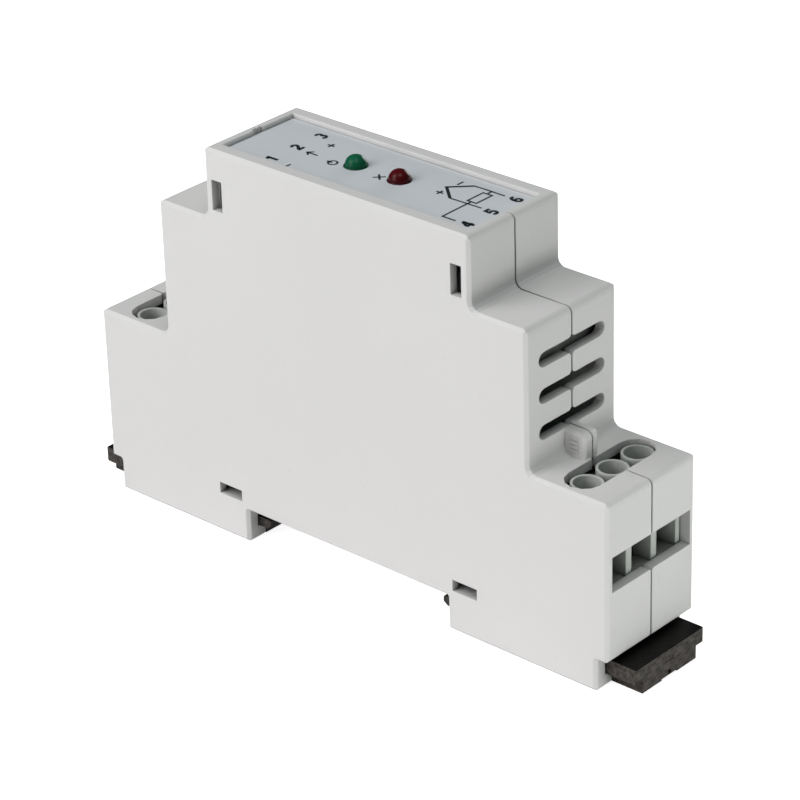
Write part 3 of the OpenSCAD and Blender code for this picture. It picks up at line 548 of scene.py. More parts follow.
@dataclass(frozen=True)
class BandedResistor(Finish):
    """Lacquered resistor with rings of colour round its body and tinned wires."""

    low: float
    high: float
    lacquer: str = "7FA9BC"
    lead: str = TINNED
    rings: tuple[str, ...] = ("4A2C1C", "1B1B1B", "1B1B1B", "9A3B22", "4A2C1C")
    first_ring: float = 0.2
    ring_step: float = 0.15
    ring_half: float = 0.035

    def paint(self, sheet: NodeSheet) -> None:
        """Paints the finish.

        Args:
            sheet: Node tree to fill.
        """
        share = sheet.fade(sheet.along(Axis.Z), 0.0, 1.0, self.low, self.high)
        color = sheet.vary(sheet.noise(1200, 2), self.lacquer, 0.9, 1.0)
        for place, ring in enumerate(self.rings):
            middle = self.first_ring + self.ring_step * place
            gap = sheet.math("ABSOLUTE", sheet.math("SUBTRACT", share, middle))
            color = sheet.blend(sheet.math("LESS_THAN", gap, self.ring_half), color, tone(ring))
        ends = sheet.outside(Axis.Z, self.low, self.high)
        # Painted shade darkens the colour in openings
        sheet.set(Base_Color=sheet.painted_hollow_shade(sheet.blend(ends, color, tone(self.lead))))
        sheet.set(Metallic=ends, Roughness=0.3)
        sheet.relief(sheet.noise(2000, 1), 0.006 * MM)


@dataclass(frozen=True)
class SleevedCan(Finish):
    """Capacitor in a printed shrink sleeve, with a pale stripe and a bare metal end."""

    centre: Point2
    radius: float
    top: float
    sleeve: str = "1F2A52"
    stripe: str = "B9C0CC"
    metal: str = "B4B6B8"
    stripe_from: float = 0.86
    bare_to: float = 0.82
    bare_depth: float = 0.4 * MM

    def paint(self, sheet: NodeSheet) -> None:
        """Paints the finish.

        Args:
            sheet: Node tree to fill.
        """
        x = sheet.math("SUBTRACT", sheet.along(Axis.X), self.centre[0])
        z = sheet.math("SUBTRACT", sheet.along(Axis.Z), self.centre[1])
        squares = (sheet.math("MULTIPLY", x, x), sheet.math("MULTIPLY", z, z))
        reach = sheet.math("SQRT", sheet.math("ADD", *squares))
        inner = sheet.math("LESS_THAN", reach, self.radius * self.bare_to)
        end = sheet.math("GREATER_THAN", sheet.along(Axis.Y), self.top - self.bare_depth)
        bare = sheet.math("MULTIPLY", inner, end)
        stripe = sheet.math("GREATER_THAN", z, self.radius * self.stripe_from)
        ink = sheet.vary(sheet.noise(800, 2), self.sleeve, 0.85, 1.15)
        ink = sheet.blend(stripe, ink, tone(self.stripe))
        # Painted shade darkens the colour in openings
        sheet.set(Base_Color=sheet.painted_hollow_shade(sheet.blend(bare, ink, tone(self.metal))), Metallic=bare)
        sheet.set(Roughness=sheet.fade(bare, 0.35, 0.28))
        sheet.relief(sheet.noise(1800, 2), 0.005 * MM)


def circle(radius: float, segments: int, centre: Point2 = (0.0, 0.0)) -> list[Point2]:
    """Returns points round a circle."""
    turn = [2 * math.pi * k / segments for k in range(segments)]
    return [(centre[0] + radius * math.cos(a), centre[1] + radius * math.sin(a)) for a in turn]


def arc(centre: Point2, radii: Point2, start: float, stop: float, steps: int = 12) -> list[Point2]:
    """Returns points along an ellipse, from one angle in degrees to another."""
    turn = [math.radians(start + (stop - start) * k / steps) for k in range(steps + 1)]
    return [(centre[0] + radii[0] * math.cos(a), centre[1] + radii[1] * math.sin(a)) for a in turn]


def stroke(points: Sequence[Point2], width: float) -> list[Point2]:
    """Returns the outline of a printed line with mitred corners.

    Args:
        points: Middle line.
        width: Width of the line.

    Returns:
        Corners of the outline, anticlockwise.
    """
    spots = [Vector(point) for point in points]
    runs = [(after - before).normalized() for before, after in zip(spots, spots[1:])]
    left, right = [], []
    for here, first, second in zip(spots, [runs[0], *runs], [*runs, runs[-1]]):
        run = (first + second).normalized()
        across = Vector((-run.y, run.x))
        reach = width / 2 / max(MITRE_LIMIT, run.dot(first))
        left.append(tuple(here + across * reach))
        right.append(tuple(here - across * reach))
    return right + left[::-1]


def triangles(loops: Sequence[Sequence[Point2]]) -> list[tuple[int, int, int]]:
    """Fills an outline with triangles that are all anticlockwise.

    Args:
        loops: Corners of the outline, then those of each opening in it.

    Returns:
        The numbers of each triangle's corners, counted through all loops.
    """
    corners = [Vector(point) for loop in loops for point in loop]
    found = []
    for a, b, c in tessellate_polygon([[Vector((x, y, 0.0)) for x, y in loop] for loop in loops]):
        up = (corners[b] - corners[a]).cross(corners[c] - corners[a])
        found.append((a, b, c) if up > 0 else (a, c, b))
    return found


def add_object(name: str, data: bpy.types.ID) -> Piece:
    """Adds an object with this data to the scene.

    Args:
        name: Name of the object.
        data: Its mesh, light or camera.

    Returns:
        The new object.
    """
    item = bpy.data.objects.new(name, data)
    bpy.context.collection.objects.link(item)
    return item


class MeshSheet:
    """Points and faces of one piece, gathered part by part in metres."""

    def __init__(self) -> None:
        """Starts with no points."""
        self.points: list[Vector] = []
        self.faces: list[tuple[int, ...]] = []

    def ring(self, points: Iterable[Sequence[float]]) -> list[int]:
        """Adds points to the mesh.

        Args:
            points: Points in metres.

        Returns:
            The numbers of the points.
        """
        start = len(self.points)
        self.points.extend(Vector(p) for p in points)
        return list(range(start, len(self.points)))

    def bridge(self, a: Sequence[int], b: Sequence[int]) -> None:
        """Joins two closed rings of equal count with a band of faces."""
        self.faces.extend(zip(a, [*a[1:], a[0]], [*b[1:], b[0]], b))

    def cap(self, ring: Sequence[int], flip: bool = False) -> None:
        """Closes a ring with one face."""
        self.faces.append(tuple(reversed(ring)) if flip else tuple(ring))

    def skin(self, rings: Sequence[Sequence[int]]) -> None:
        """Joins a row of rings and closes both ends.

        Args:
            rings: Rings of equal count, in their order.
        """
        for low, high in zip(rings, rings[1:]):
            self.bridge(low, high)
        self.cap(rings[0], flip=True)
        self.cap(rings[-1])

    def lathe(self, profile: Sequence[Point2], centre: Point2, segments: int = 48) -> None:
        """Turns a profile of radii and heights, upwards, round a vertical axis."""
        turned = [(circle(radius, segments, centre), height) for radius, height in profile]
        self.skin([self.ring((x, y, height) for x, y in points) for points, height in turned])

    def sweep(self, path: Sequence[Vector], radius: float, sides: int = 10) -> None:
        """Runs a round section along a path.

        Args:
            path: Middle line of the wire.
            radius: Radius of the wire.
            sides: Number of sides of the section.
        """
        rings = []
        normal = None
        for before, point, after in zip([path[0], *path], path, [*path[1:], path[-1]]):
            ahead = (after - before).normalized()
            if normal is None:
                normal = ahead.orthogonal().normalized()
            normal = (normal - ahead * normal.dot(ahead)).normalized()
            across = ahead.cross(normal)
            section = circle(1.0, sides)
            rings.append(self.ring(point + (normal * u + across * v) * radius for u, v in section))
        self.skin(rings)

    def plate(
        self, outline: Sequence[Point2], low: float, high: float, hole: Sequence[Point2] = ()
    ) -> None:
        """Adds a flat plate between two heights.

        Args:
            outline: Corners of the plate, anticlockwise from above.
            low: Height of its underside.
            high: Height of its upper side.
            hole: Corners of an opening in it, if any.
        """
        loops = [list(outline)] + ([list(hole)] if hole else [])
        under, upper = [], []
        for loop in loops:
            under.append(self.ring((x, y, low) for x, y in loop))
            upper.append(self.ring((x, y, high) for x, y in loop))
        below, above = sum(under, []), sum(upper, [])
        for corners in triangles(loops):
            self.faces.append(tuple(above[i] for i in corners))
            self.faces.append(tuple(below[i] for i in reversed(corners)))
        self.bridge(under[0], upper[0])
        for low_ring, high_ring in zip(under[1:], upper[1:]):
            self.bridge(low_ring[::-1], high_ring[::-1])

    def piece(self, name: str, finish: Material, body: str, slot: str) -> Piece:
        """Makes the piece and lets it ride on a body of the frame.

        Args:
            name: Name of the piece.
            finish: Its material.
            body: Body of the frame that it moves with.
            slot: Material slot of the record; not used.

        Returns:
            The new object.
        """
        mesh = bpy.data.meshes.new(name)
        mesh.from_pydata(self.points, [], self.faces)
        mesh.validate()
        mesh.polygons.foreach_set("use_smooth", [True] * len(mesh.polygons))
        mesh.set_sharp_from_angle(angle=SHARP_ANGLE)
        mesh.materials.append(finish)
        item = add_object(name, mesh)
        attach(item, body)
        return item


def dress_node(name: str, finish: Material) -> None:
    """Gives a node of the frame its finish, in every material slot that it has.

    Args:
        name: Name of the node.
        finish: Its material.
    """
    LOG.info("dressed %s in %s", name, finish.name)
    node = frame["nodes"][name]
    for item in [node, *node.children_recursive]:
        if item.type != "MESH":
            continue
        if not item.data.materials:
            item.data.materials.append(finish)
        for place in range(len(item.material_slots)):
            item.material_slots[place].material = finish


class SubAssembly:
    """A part of the object that main dresses and builds."""

    def dress(self) -> None:
        """Gives the frame's own pieces their finishes, where it has any."""

    def build(self) -> list[Piece]:
        """Builds the extra pieces and returns them, where it has any."""
        return []


@dataclass
class Housing(SubAssembly):
    """The two shells that everything else sits in."""

    finish: MouldedPlastic = MouldedPlastic("DDDCDB", open_share=0.34, specks=0.06)

    def dress(self) -> None:
        """Finishes both shells alike."""
        plastic = self.finish.build("housing_plastic")
        for name in ("near_shell", "far_shell"):
            dress_node(name, plastic)


def number_strokes() -> list[list[list[Point2]]]:
    """Gives the numbers 1 to 6 as pen strokes.

    Returns:
        The strokes of each number, in millimetres round its middle.
    """
    return [
        [[(0.14, -0.95), (0.14, 0.95)], [(0.14, 0.78), (-0.36, 0.42)]],
        [arc((0, 0.37), (0.4, 0.4), 170, -30) + [(-0.4, -0.72)], [(-0.58, -0.77), (0.58, -0.77)]],
        [arc((-0.02, 0.38), (0.36, 0.38), 155, -90), arc((-0.02, -0.38), (0.42, 0.39), 90, -155)],
        [
            [(0.24, -0.95), (0.24, 0.95)],
            [(0.2, 0.85), (-0.46, -0.32)],
            [(-0.6, -0.4), (0.62, -0.4)],
        ],
        [[(0.48, 0.77), (-0.32, 0.77), (-0.38, 0.05)] + arc((0, -0.3), (0.42, 0.46), 130, -150)],
        [arc((0, -0.36), (0.4, 0.41), 0, 360, 20), arc((0.06, -0.1), (0.48, 0.87), 60, 190)],
    ]


@dataclass
class FrontLabel(SubAssembly):
    """Printed plate in the front; the places of its numbers and signs are millimetres."""

    film: PrintedFilm = PrintedFilm("D8DCE1")
    ink: Ink = Ink()
    ink_height: float = 0.015 * MM
    number_line: float = 0.46 * MM
    line: float = 0.28 * MM
    thick_line: float = 0.42 * MM
    left_numbers: Line = ((-13.75, -5.05), (-13.75, -0.35), (-13.75, 4.25))
    right_numbers: Line = ((19.0, -4.9), (19.0, -0.25), (18.95, 4.5))
    sensor_pair: Line = ((12.25, 4.4), (9.7, 2.0), (12.25, -0.3))
    wires: tuple[Line, ...] = (
        ((12.2, 4.38), (14.2, 4.45), (17.2, 4.4)),
        ((12.2, -0.3), (14.4, -0.25), (17.3, -0.2)),
        ((15.05, 4.4), (15.05, 3.6)),
        ((15.05, 0.4), (15.1, -5.0), (17.25, -5.0)),
    )
    resistor: Point2 = (15.15, 2.0)
    resistor_half: Point2 = (0.85, 1.65)
    minus_signs: Line = ((-10.6, -5.45), (10.3, 3.95))
    plus_signs: Line = ((-10.6, 2.75), (10.1, 0.25))
    sign_half: float = 0.575
    arrow: tuple[Line, ...] = (
        ((-9.8, -0.7), (-11.5, -0.7)),
        ((-10.9, -1.3), (-11.6, -0.7), (-10.9, -0.1)),
    )
    ring: Point2 = (-6.7, -1.2)
    ring_r: float = 0.75 * MM
    pointer: Line = ((-7.7, -1.2), (-6.8, -1.2))
    cross: tuple[Line, ...] = (((0.4, -0.3), (1.6, -1.5)), ((0.4, -1.5), (1.6, -0.3)))

    def top(self) -> float:
        """Height of the printed face."""
        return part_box("front_label")[1][2]

    def dress(self) -> None:
        """Gives the plate its film."""
        dress_node("front_label", self.film.build("label_film"))

    def build(self) -> list[Piece]:
        """Prints the numbers, the wiring sign and the plain signs."""
        ink = self.ink.build("label_ink")
        return [self.number_print(ink), self.wiring_print(ink), self.sign_print(ink)]

    def patch(self, sheet: MeshSheet, outline: list[Point2], hole: Sequence[Point2] = ()) -> None:
        """Prints one patch of ink, its corners in metres."""
        low = self.top()
        sheet.plate(outline, low, low + self.ink_height, hole)

    def line_on(self, sheet: MeshSheet, points: Sequence[Point2], width: float) -> None:
        """Prints one line, its points in millimetres."""
        self.patch(sheet, stroke([(x * MM, y * MM) for x, y in points], width))

    def number_print(self, ink: Material) -> Piece:
        """Prints the six terminal numbers, their tops towards the left end.

        Args:
            ink: Material of the print.

        Returns:
            The printed piece.
        """
        sheet = MeshSheet()
        places = self.left_numbers + self.right_numbers
        for strokes, (x, y) in zip(number_strokes(), places):
            for points in strokes:
                turned = [(x - up, y + across) for across, up in points]
                self.line_on(sheet, turned, self.number_line)
        return sheet.piece("label_numbers", ink, "housing", "label")

    def wiring_print(self, ink: Material) -> Piece:
        """Prints the sign of a sensor pair with a resistor, wired to the terminals 4 to 6.

        Args:
            ink: Material of the print.

        Returns:
            The printed piece.
        """
        sheet = MeshSheet()
        self.line_on(sheet, self.sensor_pair, self.thick_line)
        for points in self.wires:
            self.line_on(sheet, points, self.line)
        (x, y), (wide, high) = self.resistor, self.resistor_half
        outer, inner = (
            [((x + u * (wide - sink)) * MM, (y + v * (high - sink)) * MM) for u, v in CORNER_SIGNS]
            for sink in (0.0, self.line / MM)
        )
        self.patch(sheet, outer, inner)
        return sheet.piece("label_wiring_sign", ink, "housing", "label")

    def sign_print(self, ink: Material) -> Piece:
        """Prints the plus and minus signs, an arrow by terminal 2 and a sign by each lamp.

        Args:
            ink: Material of the print.

        Returns:
            The printed piece.
        """
        sheet = MeshSheet()
        half = self.sign_half
        for x, y in self.minus_signs + self.plus_signs:
            self.line_on(sheet, [(x, y - half), (x, y + half)], self.line)
        for x, y in self.plus_signs:
            self.line_on(sheet, [(x - half, y), (x + half, y)], self.line)
        for points in (*self.arrow, self.pointer, *self.cross):
            self.line_on(sheet, points, self.line)
        middle = (self.ring[0] * MM, self.ring[1] * MM)
        outer, inner = (circle(self.ring_r - sink, 32, middle) for sink in (0.0, self.line))
        self.patch(sheet, outer, inner)
        return sheet.piece("label_plain_signs", ink, "housing", "label")


@dataclass
class Lamp(SubAssembly):
    """Round lamp: a tinted lens with its flange, and two bent leads."""

    node: str
    finish: TintedEpoxy
    slot: str
    lens_d: float = 2.9 * MM
    lens_h: float = 5.3 * MM
    skirt_d: float = 3.25 * MM
    skirt_h: float = 0.13 * MM
    flange: float = 0.4 * MM
    flange_t: float = 1.0 * MM
    lead: float = 0.5 * MM
    lead_half: float = 1.27 * MM
    lead_fit: float = 0.96
    lead_root: float = 0.3 * MM
    lead_gap: float = 0.02 * MM
    bend_drop: float = 3.0 * MM
    bend_r: float = 0.5 * MM
    bevel: float = 0.05 * MM
    shoulder_bevel: float = 0.1 * MM
    label_gap: float = 0.005 * MM
    hub_r: float = 0.2 * MM
    peak_r: float = 0.02 * MM
    tin: PlatedMetal = PlatedMetal("B9B7AE", 0.3, Axis.Z)

    def build(self) -> list[Piece]:
        """Builds the lens and the leads in the place of the frame's plain lamp.

        Returns:
            The lens and the leads.
        """
        low, high = (Vector(corner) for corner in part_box(self.node))
        middle = (low.x + high.x) / 2
        flange_low = high.z - self.lens_h
        lens = MeshSheet()
        lens.lathe(self.profile(flange_low, high.z), (middle, 0.0))
        epoxy = self.finish.build(self.node + "_epoxy")
        lens_piece = lens.piece(self.node + "_lens", epoxy, "housing", self.slot)
        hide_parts(self.node)
        leads = MeshSheet()
        r, bend_z = self.bend_r, flange_low - self.bend_drop
        bend = arc((-r, bend_z + r), (r, r), 0, -90, 5)
        line = [(0, flange_low + self.lead_root), *bend, (low.y + self.lead_gap, bend_z)]
        for x in (middle - self.lead_half, middle + self.lead_half):
            leads.sweep([Vector((x, y, z)) for y, z in line], self.lead / 2 * self.lead_fit, 8)
        tin = self.tin.build(self.node + "_tin")
        return [lens_piece, leads.piece(self.node + "_leads", tin, "housing", "tinned_brass")]

    def profile(self, flange_low: float, top: float) -> list[Point2]:
        """Returns the lens's profile: flange, body, skirt on the label and dome.

        Args:
            flange_low: Height of the flange's underside.
            top: Height of the dome's top.

        Returns:
            Radius and height of each point, upwards.
        """
        label_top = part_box("front_label")[1][2]
        radius, skirt = self.lens_d / 2, self.skirt_d / 2
        brim = radius + self.flange
        shoulder, skirt_top = flange_low + self.flange_t, label_top + self.skirt_h
        dome = arc((0.0, skirt_top), (radius, top - skirt_top), 0, 90, 14)
        return [
            (self.hub_r, flange_low),
            (brim - self.bevel, flange_low),
            (brim, flange_low + self.bevel),
            (brim, shoulder - self.shoulder_bevel),
            (brim - self.shoulder_bevel, shoulder),
            (radius, shoulder + self.shoulder_bevel),
            (radius, label_top + self.label_gap),
            (skirt - 0.03 * MM, label_top + self.label_gap),
            (skirt, label_top + 0.04 * MM),
            (skirt - 0.05 * MM, skirt_top - 0.02 * MM),
            (radius + 0.04 * MM, skirt_top),
            *((max(self.peak_r, reach), height) for reach, height in dome),
        ]


@dataclass
class ClampScrew:
    """Captive clamp screw with a cross recess and a rolled thread."""

    number: int
    metal: Material
    head_d: float = 3.4 * MM
    head_h: float = 1.5 * MM
    bevel: float = 0.12 * MM
    shank_d: float = 2.5 * MM
    pitch: float = 0.45 * MM
    thread_depth: float = 0.2 * MM
    tip_h: float = 0.4 * MM
    tip_cut: float = 0.3 * MM
    recess_arm: float = 2.5 * MM
    recess_w: float = 0.56 * MM
    recess_depth: float = 0.8 * MM
    thread_fit: float = 0.995
    head_fit: float = 0.998
    head_sides: int = 48
    thread_sides: int = 28
    rows_per_turn: int = 7

    def build(self) -> Piece:
        """Builds the screw in the place of the frame's plain one.

        Returns:
            The threaded screw.
        """
        node = f"clamp_screw_{self.number}"
        low, high = (Vector(corner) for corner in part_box(node))
        at = (low + high) / 2
        head_low = high.z - self.head_h
        sheet = MeshSheet()
        self.thread(sheet, at, low.z, head_low)
        self.head(sheet, at, head_low, high.z)
        name, body = f"threaded_screw_{self.number}", f"screw_{self.number}"
        screw = sheet.piece(name, self.metal, body, "clamp_steel")
        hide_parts(node)
        return screw

    def thread(self, sheet: MeshSheet, at: Vector, low: float, high: float) -> None:
        """Adds the shank, its thread worked out turn by turn.

        Args:
            sheet: Mesh to add to.
            at: Middle of the screw.
            low: Height of its tip.
            high: Height of the head's underside.
        """
        rows = int((high - low) / self.pitch * self.rows_per_turn)
        crest = self.shank_d / 2 * self.thread_fit
        rings = []
        for row in range(rows + 1):
            z = low + (high - low) * row / rows
            tip = min(1.0, (z - low) / self.tip_h)
            ring = []
            for k in range(self.thread_sides):
                angle = 2 * math.pi * k / self.thread_sides
                phase = (z - low) / self.pitch - k / self.thread_sides
                groove = abs(2 * (phase - math.floor(phase)) - 1)
                radius = crest - self.thread_depth * groove - self.tip_cut * (1 - tip)
                ring.append((at.x + radius * math.cos(angle), at.y + radius * math.sin(angle), z))
            rings.append(sheet.ring(ring))
        sheet.skin(rings)

    def head(self, sheet: MeshSheet, at: Vector, low: float, high: float) -> None:
        """Adds the cheese head with its cross recess.

        Args:
            sheet: Mesh to add to.
            at: Middle of the screw.
            low: Height of the head's underside.
            high: Height of its top.
        """
        radius = self.head_d / 2 * self.head_fit
        side = circle(radius, self.head_sides, at)
        top = circle(radius - self.bevel, self.head_sides, at)
        under = sheet.ring((*p, low) for p in side)
        rim = sheet.ring((*p, high - self.bevel) for p in side)
        face = sheet.ring((*p, high) for p in top)
        sheet.cap(under, flip=True)
        sheet.bridge(under, rim)
        sheet.bridge(rim, face)
        cross = self.cross(at)
        mouth = sheet.ring((*p, high) for p in cross)
        floor = sheet.ring((*p, high - self.recess_depth) for p in cross)
        sheet.bridge(mouth[::-1], floor[::-1])
        for ring, loops in ((face + mouth, [top, cross]), (floor, [cross])):
            sheet.faces.extend(tuple(ring[i] for i in corners) for corners in triangles(loops))

    def cross(self, at: Vector) -> list[Point2]:
        """Gives the outline of the cross recess.

        Args:
            at: Middle of the screw.

        Returns:
            The corners, anticlockwise.
        """
        arm, half = self.recess_arm / 2, self.recess_w / 2
        quarter = [(arm, -half), (arm, half), (half, half)]
        points = []
        for k in range(4):
            angle = math.radians(RECESS_TURNS[self.number] + 90 * k)
            c, s = math.cos(angle), math.sin(angle)
            points.extend((at.x + x * c - y * s, at.y + x * s + y * c) for x, y in quarter)
        return points


@dataclass
class TerminalRow(SubAssembly):
    """The three screw terminals of one end: block, contact bars, screws and clamp cages."""

    side: Side
    plastic: MouldedPlastic = MouldedPlastic("BFC2BE", roughness=0.55, open_share=0.2, depth=0.16)
    cage_zinc: PlatedMetal = PlatedMetal("B5B6B8", 0.3, Axis.Z)
    screw_zinc: PlatedMetal = PlatedMetal("B9BABB", 0.28, Axis.Y)
    tin: PlatedMetal = PlatedMetal("C9C5B6", 0.35, Axis.X)

    def numbers(self) -> tuple[int, int, int]:
        """Numbers of this end's terminals."""
        return (1, 2, 3) if self.side is Side.LEFT else (4, 5, 6)

    def dress(self) -> None:
        """Finishes the block, the contact bars and the cages."""
        end = self.side.label
        dress_node(end + "_terminal_block", self.plastic.build(end + "_block_plastic"))
        dress_node(end + "_contacts", self.tin.build(end + "_contact_tin"))
        zinc = self.cage_zinc.build(end + "_cage_zinc")
        for number in self.numbers():
            dress_node(f"clamp_cage_{number}", zinc)

    def build(self) -> list[Piece]:
        """Builds the threaded screws."""
        zinc = self.screw_zinc.build(self.side.label + "_screw_zinc")
        return [ClampScrew(number, zinc).build() for number in self.numbers()]


@dataclass
class RailClip(SubAssembly):
    """Sliding rail clip of one end with the coil spring that closes it."""

    side: Side
    finish: ClipPlastic = ClipPlastic("080706", "474340", 4.08 * MM)
    steel: PlatedMetal = PlatedMetal("8E9092", 0.3, Axis.X)
    spring_d: float = 2.8 * MM
    wire_d: float = 0.32 * MM
    wire_fit: float = 0.98
    coils: float = 9.0
    steps_per_coil: int = 26
    length: float = 9.0 * MM
    seat_x: float = 31.6 * MM
    travel: float = 2.5 * MM

    def dress(self) -> None:
        """Finishes the clip."""
        end = self.side.label
        dress_node(end + "_rail_clip", self.finish.build(end + "_clip_plastic"))

    def build(self) -> list[Piece]:
        """Builds a smooth coil spring in the place of the frame's plain one.

        Returns:
            The spring.
        """
        end = self.side.label
        node = end + "_clip_spring"
        low, high = (Vector(corner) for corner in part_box(node))
        middle_z = (low.z + high.z) / 2
        radius = (self.spring_d - self.wire_d) / 2
        start, stop = low.x + self.wire_d / 2, high.x - self.wire_d / 2
        count = int(self.coils * self.steps_per_coil)
        path = []
        for k in range(count + 1):
            angle = 2 * math.pi * k / self.steps_per_coil
            y, z = radius * math.cos(angle), middle_z + radius * math.sin(angle)
            path.append(Vector((start + (stop - start) * (k / count), y, z)))
        sheet = MeshSheet()
        sheet.sweep(path, self.wire_d / 2 * self.wire_fit)
        steel = self.steel.build(end + "_spring_wire")
        spring = sheet.piece(end + "_coil_spring", steel, "housing", "spring_steel")
        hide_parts(node)
        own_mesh(spring)
        return [spring]


@dataclass
class CircuitBoard(SubAssembly):
    """Board with its parts and solder joints."""

    mask: SolderMask = SolderMask()
    film: MouldedPlastic = MouldedPlastic("A8432E", roughness=0.3, soft_edge=0.2 * MM)
    solder: PlatedMetal = PlatedMetal("C9CACC", 0.18, Axis.Y)
    # Name, colour of the body, and lengths of the leads below and above it
    packages: tuple[tuple[str, str, float, float], ...] = (
        ("converter_chip", "26262A", 1.0 * MM, 1.0 * MM),
        ("amplifier_chip", "26262A", 1.0 * MM, 1.0 * MM),
        ("voltage_regulator", "2A2A2E", 1.4 * MM, 1.8 * MM),
        ("output_transistor", "2A2A2E", 1.4 * MM, 1.8 * MM),
    )
    diode_lead: float = 0.5 * MM
    resistor_lead: float = 0.75 * MM
    sensor_lead: float = 1.6 * MM
    sensor_reach: float = 20 * MM
    part_face: float = -5.0 * MM
    solder_face: float = -6.6 * MM
    tail_xs: tuple[float, ...] = (32.2 * MM, 30.8 * MM, 29.4 * MM)
    tail_z: float = 16.8 * MM
    lead_drop: float = 8.3 * MM
    lead_half: float = 1.27 * MM
    joint_r: float = 0.85 * MM
    joint_h: float = 0.5 * MM
    joint_tip: float = 0.12 * MM
    joint_curve: float = 1.6

    def dress(self) -> None:
        """Finishes the board and every part on it."""
        dress_node("circuit_board", self.mask.build("board_mask"))
        for name in ("input_capacitor", "output_capacitor"):
            low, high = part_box(name)
            centre = ((low[0] + high[0]) / 2, (low[2] + high[2]) / 2)
            can = SleevedCan(centre, (high[0] - low[0]) / 2, high[1])
            dress_node(name, can.build(name + "_sleeve"))
        for name, color, foot, head in self.packages:
            low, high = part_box(name)
            package = LeadedPackage(color, Axis.Z, low[2] + foot, high[2] - head)
            dress_node(name, package.build(name + "_package"))
        low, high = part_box("protection_diodes")
        lead = self.diode_lead
        diodes = LeadedPackage("2A2A2E", Axis.X, low[0] + lead, high[0] - lead)
        dress_node("protection_diodes", diodes.build("diode_package"))
        foot = self.part_face + self.sensor_lead
        sensor = LeadedPackage("242428", Axis.Y, foot, self.sensor_reach)
        dress_node("cold_junction_sensor", sensor.build("sensor_package"))
        dress_node("film_capacitors", self.film.build("film_capacitor_case"))
        low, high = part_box("precision_resistors")
        resistor = BandedResistor(low[2] + self.resistor_lead, high[2] - self.resistor_lead)
        dress_node("precision_resistors", resistor.build("resistor_lacquer"))

    def build(self) -> list[Piece]:
        """Builds the solder joints on the back of the board.

        Returns:
            The joints, as one piece.
        """
        places = [(side.value * x, self.tail_z) for side in Side for x in self.tail_xs]
        for lamp in ("green_lamp", "red_lamp"):
            low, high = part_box(lamp)
            middle = (low[0] + high[0]) / 2
            z = high[2] - self.lead_drop
            places += [(middle - self.lead_half, z), (middle + self.lead_half, z)]
        sheet = MeshSheet()
        steps, sides = 6, 20
        for place in places:
            rings = []
            for k in range(steps + 1):
                share = k / steps
                radius = self.joint_r * (1 - share) ** self.joint_curve + self.joint_tip
                y = self.solder_face - self.joint_h * share
                rings.append(sheet.ring((x, y, z) for x, z in circle(radius, sides, place)))
            sheet.skin(rings)
        solder = self.solder.build("solder")
        return [sheet.piece("solder_joints", solder, "housing", "tinned_brass")]


@dataclass(frozen=True)
class SoftBox:
    """A square light that looks at the middle of the object, seen in glossy faces or not."""

    name: str
    place: Point3
    size: float
    share: float
    tint: Point3 = (1.0, 1.0, 1.0)
    glints: bool = True

    def build(self, target: Vector) -> None:
        """Adds the light.

        Args:
            target: Point that it looks at.
        """
        lamp = bpy.data.lights.new(self.name, "AREA")
        lamp.shape = "SQUARE"
        lamp.size = self.size
        lamp.color = self.tint
        away = target - Vector(self.place)
        lamp.energy = self.share * math.pi**2 * away.length_squared
        item = add_object(self.name, lamp)
        item.location = self.place
        item.rotation_euler = away.to_track_quat("-Z", "Y").to_euler()
        item.visible_glossy = self.glints


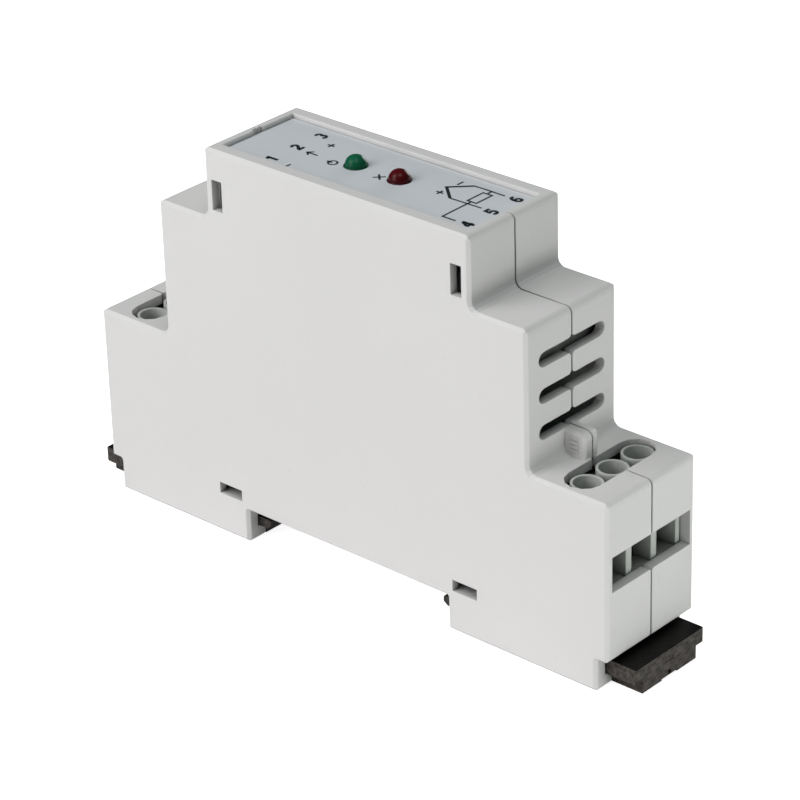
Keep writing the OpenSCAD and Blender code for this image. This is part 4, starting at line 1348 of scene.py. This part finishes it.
@dataclass
class Studio:
    """White floor, level daylight and the camera of the catalogue picture."""

    floor_size: float = 3.0
    floor_drop: float = 0.02 * MM
    floor_glow: float = 0.9
    floor_paint: float = 0.85
    daylight: float = 0.1
    sky: Point3 = (0.86, 1.0, 0.97)
    lens: float = 155.25
    clip_start: float = 0.01
    eye: Point3 = (0.271324, -0.293976, 0.230612)
    right: Point3 = (0.746934, 0.664374, -0.026383)
    down: Point3 = (0.28775, -0.35877, -0.887966)
    ahead: Point3 = (-0.599407, 0.655661, -0.459151)
    lights: tuple[SoftBox, ...] = (
        SoftBox("key_light", (-0.25, -1.0, 0.20), 0.7, 0.42, (1.0, 0.958, 0.978)),
        SoftBox("left_window", (-0.4, -0.62, 0.68), 0.6, 0.46, (1.0, 0.996, 0.996)),
        SoftBox("top_window", (0.25, -0.15, 0.95), 0.5, 0.25, (0.97, 1.0, 0.99)),
        SoftBox("end_fill", (0.14, 0.0, 0.006), 0.05, 0.3, (0.985, 1.0, 0.965), glints=False),
        SoftBox("back_window", (-0.12, 1.0, 0.15), 0.5, 0.45),
    )

    def build(self) -> None:
        """Sets up the floor, the light and the camera."""
        self.floor()
        self.world()
        low, high = PACKED_BOUNDS
        middle = (Vector(low) + Vector(high)) / 2
        for light in self.lights:
            light.build(middle)
        self.camera()
        bpy.context.scene.view_settings.view_transform = "Standard"

    def floor(self) -> None:
        """Adds a white floor that glows to the eye and still takes a faint shadow."""
        half = self.floor_size / 2
        mesh = bpy.data.meshes.new("floor")
        corners = [(x * half, y * half, -self.floor_drop) for x, y in CORNER_SIGNS]
        mesh.from_pydata(corners, [], [(0, 1, 2, 3)])
        item = add_object("floor", mesh)
        material = bpy.data.materials.new("floor_paper")
        sheet = NodeTree(material)
        path = sheet.add("ShaderNodeLightPath").outputs
        seen = path["Is Camera Ray"]
        for name in ("Is Glossy Ray", "Is Transmission Ray"):
            seen = sheet.math("ADD", seen, path[name], clamp=True)
        color = shade((1, 1, 1), self.floor_paint)
        paper = sheet.add("ShaderNodeBsdfDiffuse", {"Color": color}).outputs[0]
        glow = sheet.add("ShaderNodeEmission", {"Strength": self.floor_glow}).outputs[0]
        both = sheet.add("ShaderNodeAddShader", {0: paper, 1: glow}).outputs[0]
        mix = sheet.add("ShaderNodeMixShader", {0: seen, 1: paper, 2: both}).outputs[0]
        sheet.add("ShaderNodeOutputMaterial", {"Surface": mix})
        mesh.materials.append(material)

    def world(self) -> None:
        """Adds level daylight round the object, white to the eye."""
        world = bpy.data.worlds.new("daylight")
        bpy.context.scene.world = world
        sheet = NodeTree(world)
        look = {"Color": (*self.sky, 1.0), "Strength": self.daylight}
        level = sheet.add("ShaderNodeBackground", look).outputs[0]
        white = sheet.add("ShaderNodeBackground", {"Color": (1.0, 1.0, 1.0, 1.0)}).outputs[0]
        seen = sheet.add("ShaderNodeLightPath").outputs["Is Camera Ray"]
        mix = sheet.add("ShaderNodeMixShader", {0: seen, 1: level, 2: white}).outputs[0]
        sheet.add("ShaderNodeOutputWorld", {"Surface": mix})

    def camera(self) -> None:
        """Adds the camera, its turn given by the directions of the picture's sides."""
        lens = bpy.data.cameras.new("camera")
        lens.lens = self.lens
        lens.clip_start = self.clip_start
        item = add_object("camera", lens)
        right, down, ahead = Vector(self.right), Vector(self.down), Vector(self.ahead)
        turn = Matrix((right, -down, -ahead)).transposed().to_4x4()
        item.matrix_world = Matrix.Translation(self.eye) @ turn
        bpy.context.scene.camera = item


def main() -> None:
    """Builds and dresses every sub-assembly, then the studio."""
    logging.basicConfig(level=logging.INFO, format="%(name)s: %(message)s")
    lamp_low, lamp_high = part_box("front_label")[1][2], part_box("green_lamp")[1][2]
    parts: list[SubAssembly] = [
        Housing(),
        FrontLabel(),
        TerminalRow(Side.LEFT),
        TerminalRow(Side.RIGHT),
        RailClip(Side.LEFT),
        RailClip(Side.RIGHT),
        CircuitBoard(),
        Lamp("green_lamp", TintedEpoxy("0A4029", "14694A", lamp_low, lamp_high), "lamp_green"),
        Lamp("red_lamp", TintedEpoxy("30060A", "580A12", lamp_low, lamp_high), "lamp_red"),
    ]
    for part in parts:
        part.dress()
        for piece in part.build():
            LOG.info("built %s with %d faces", piece.name, len(piece.data.polygons))
    Studio().build()


if __name__ == "__main__":
    main()
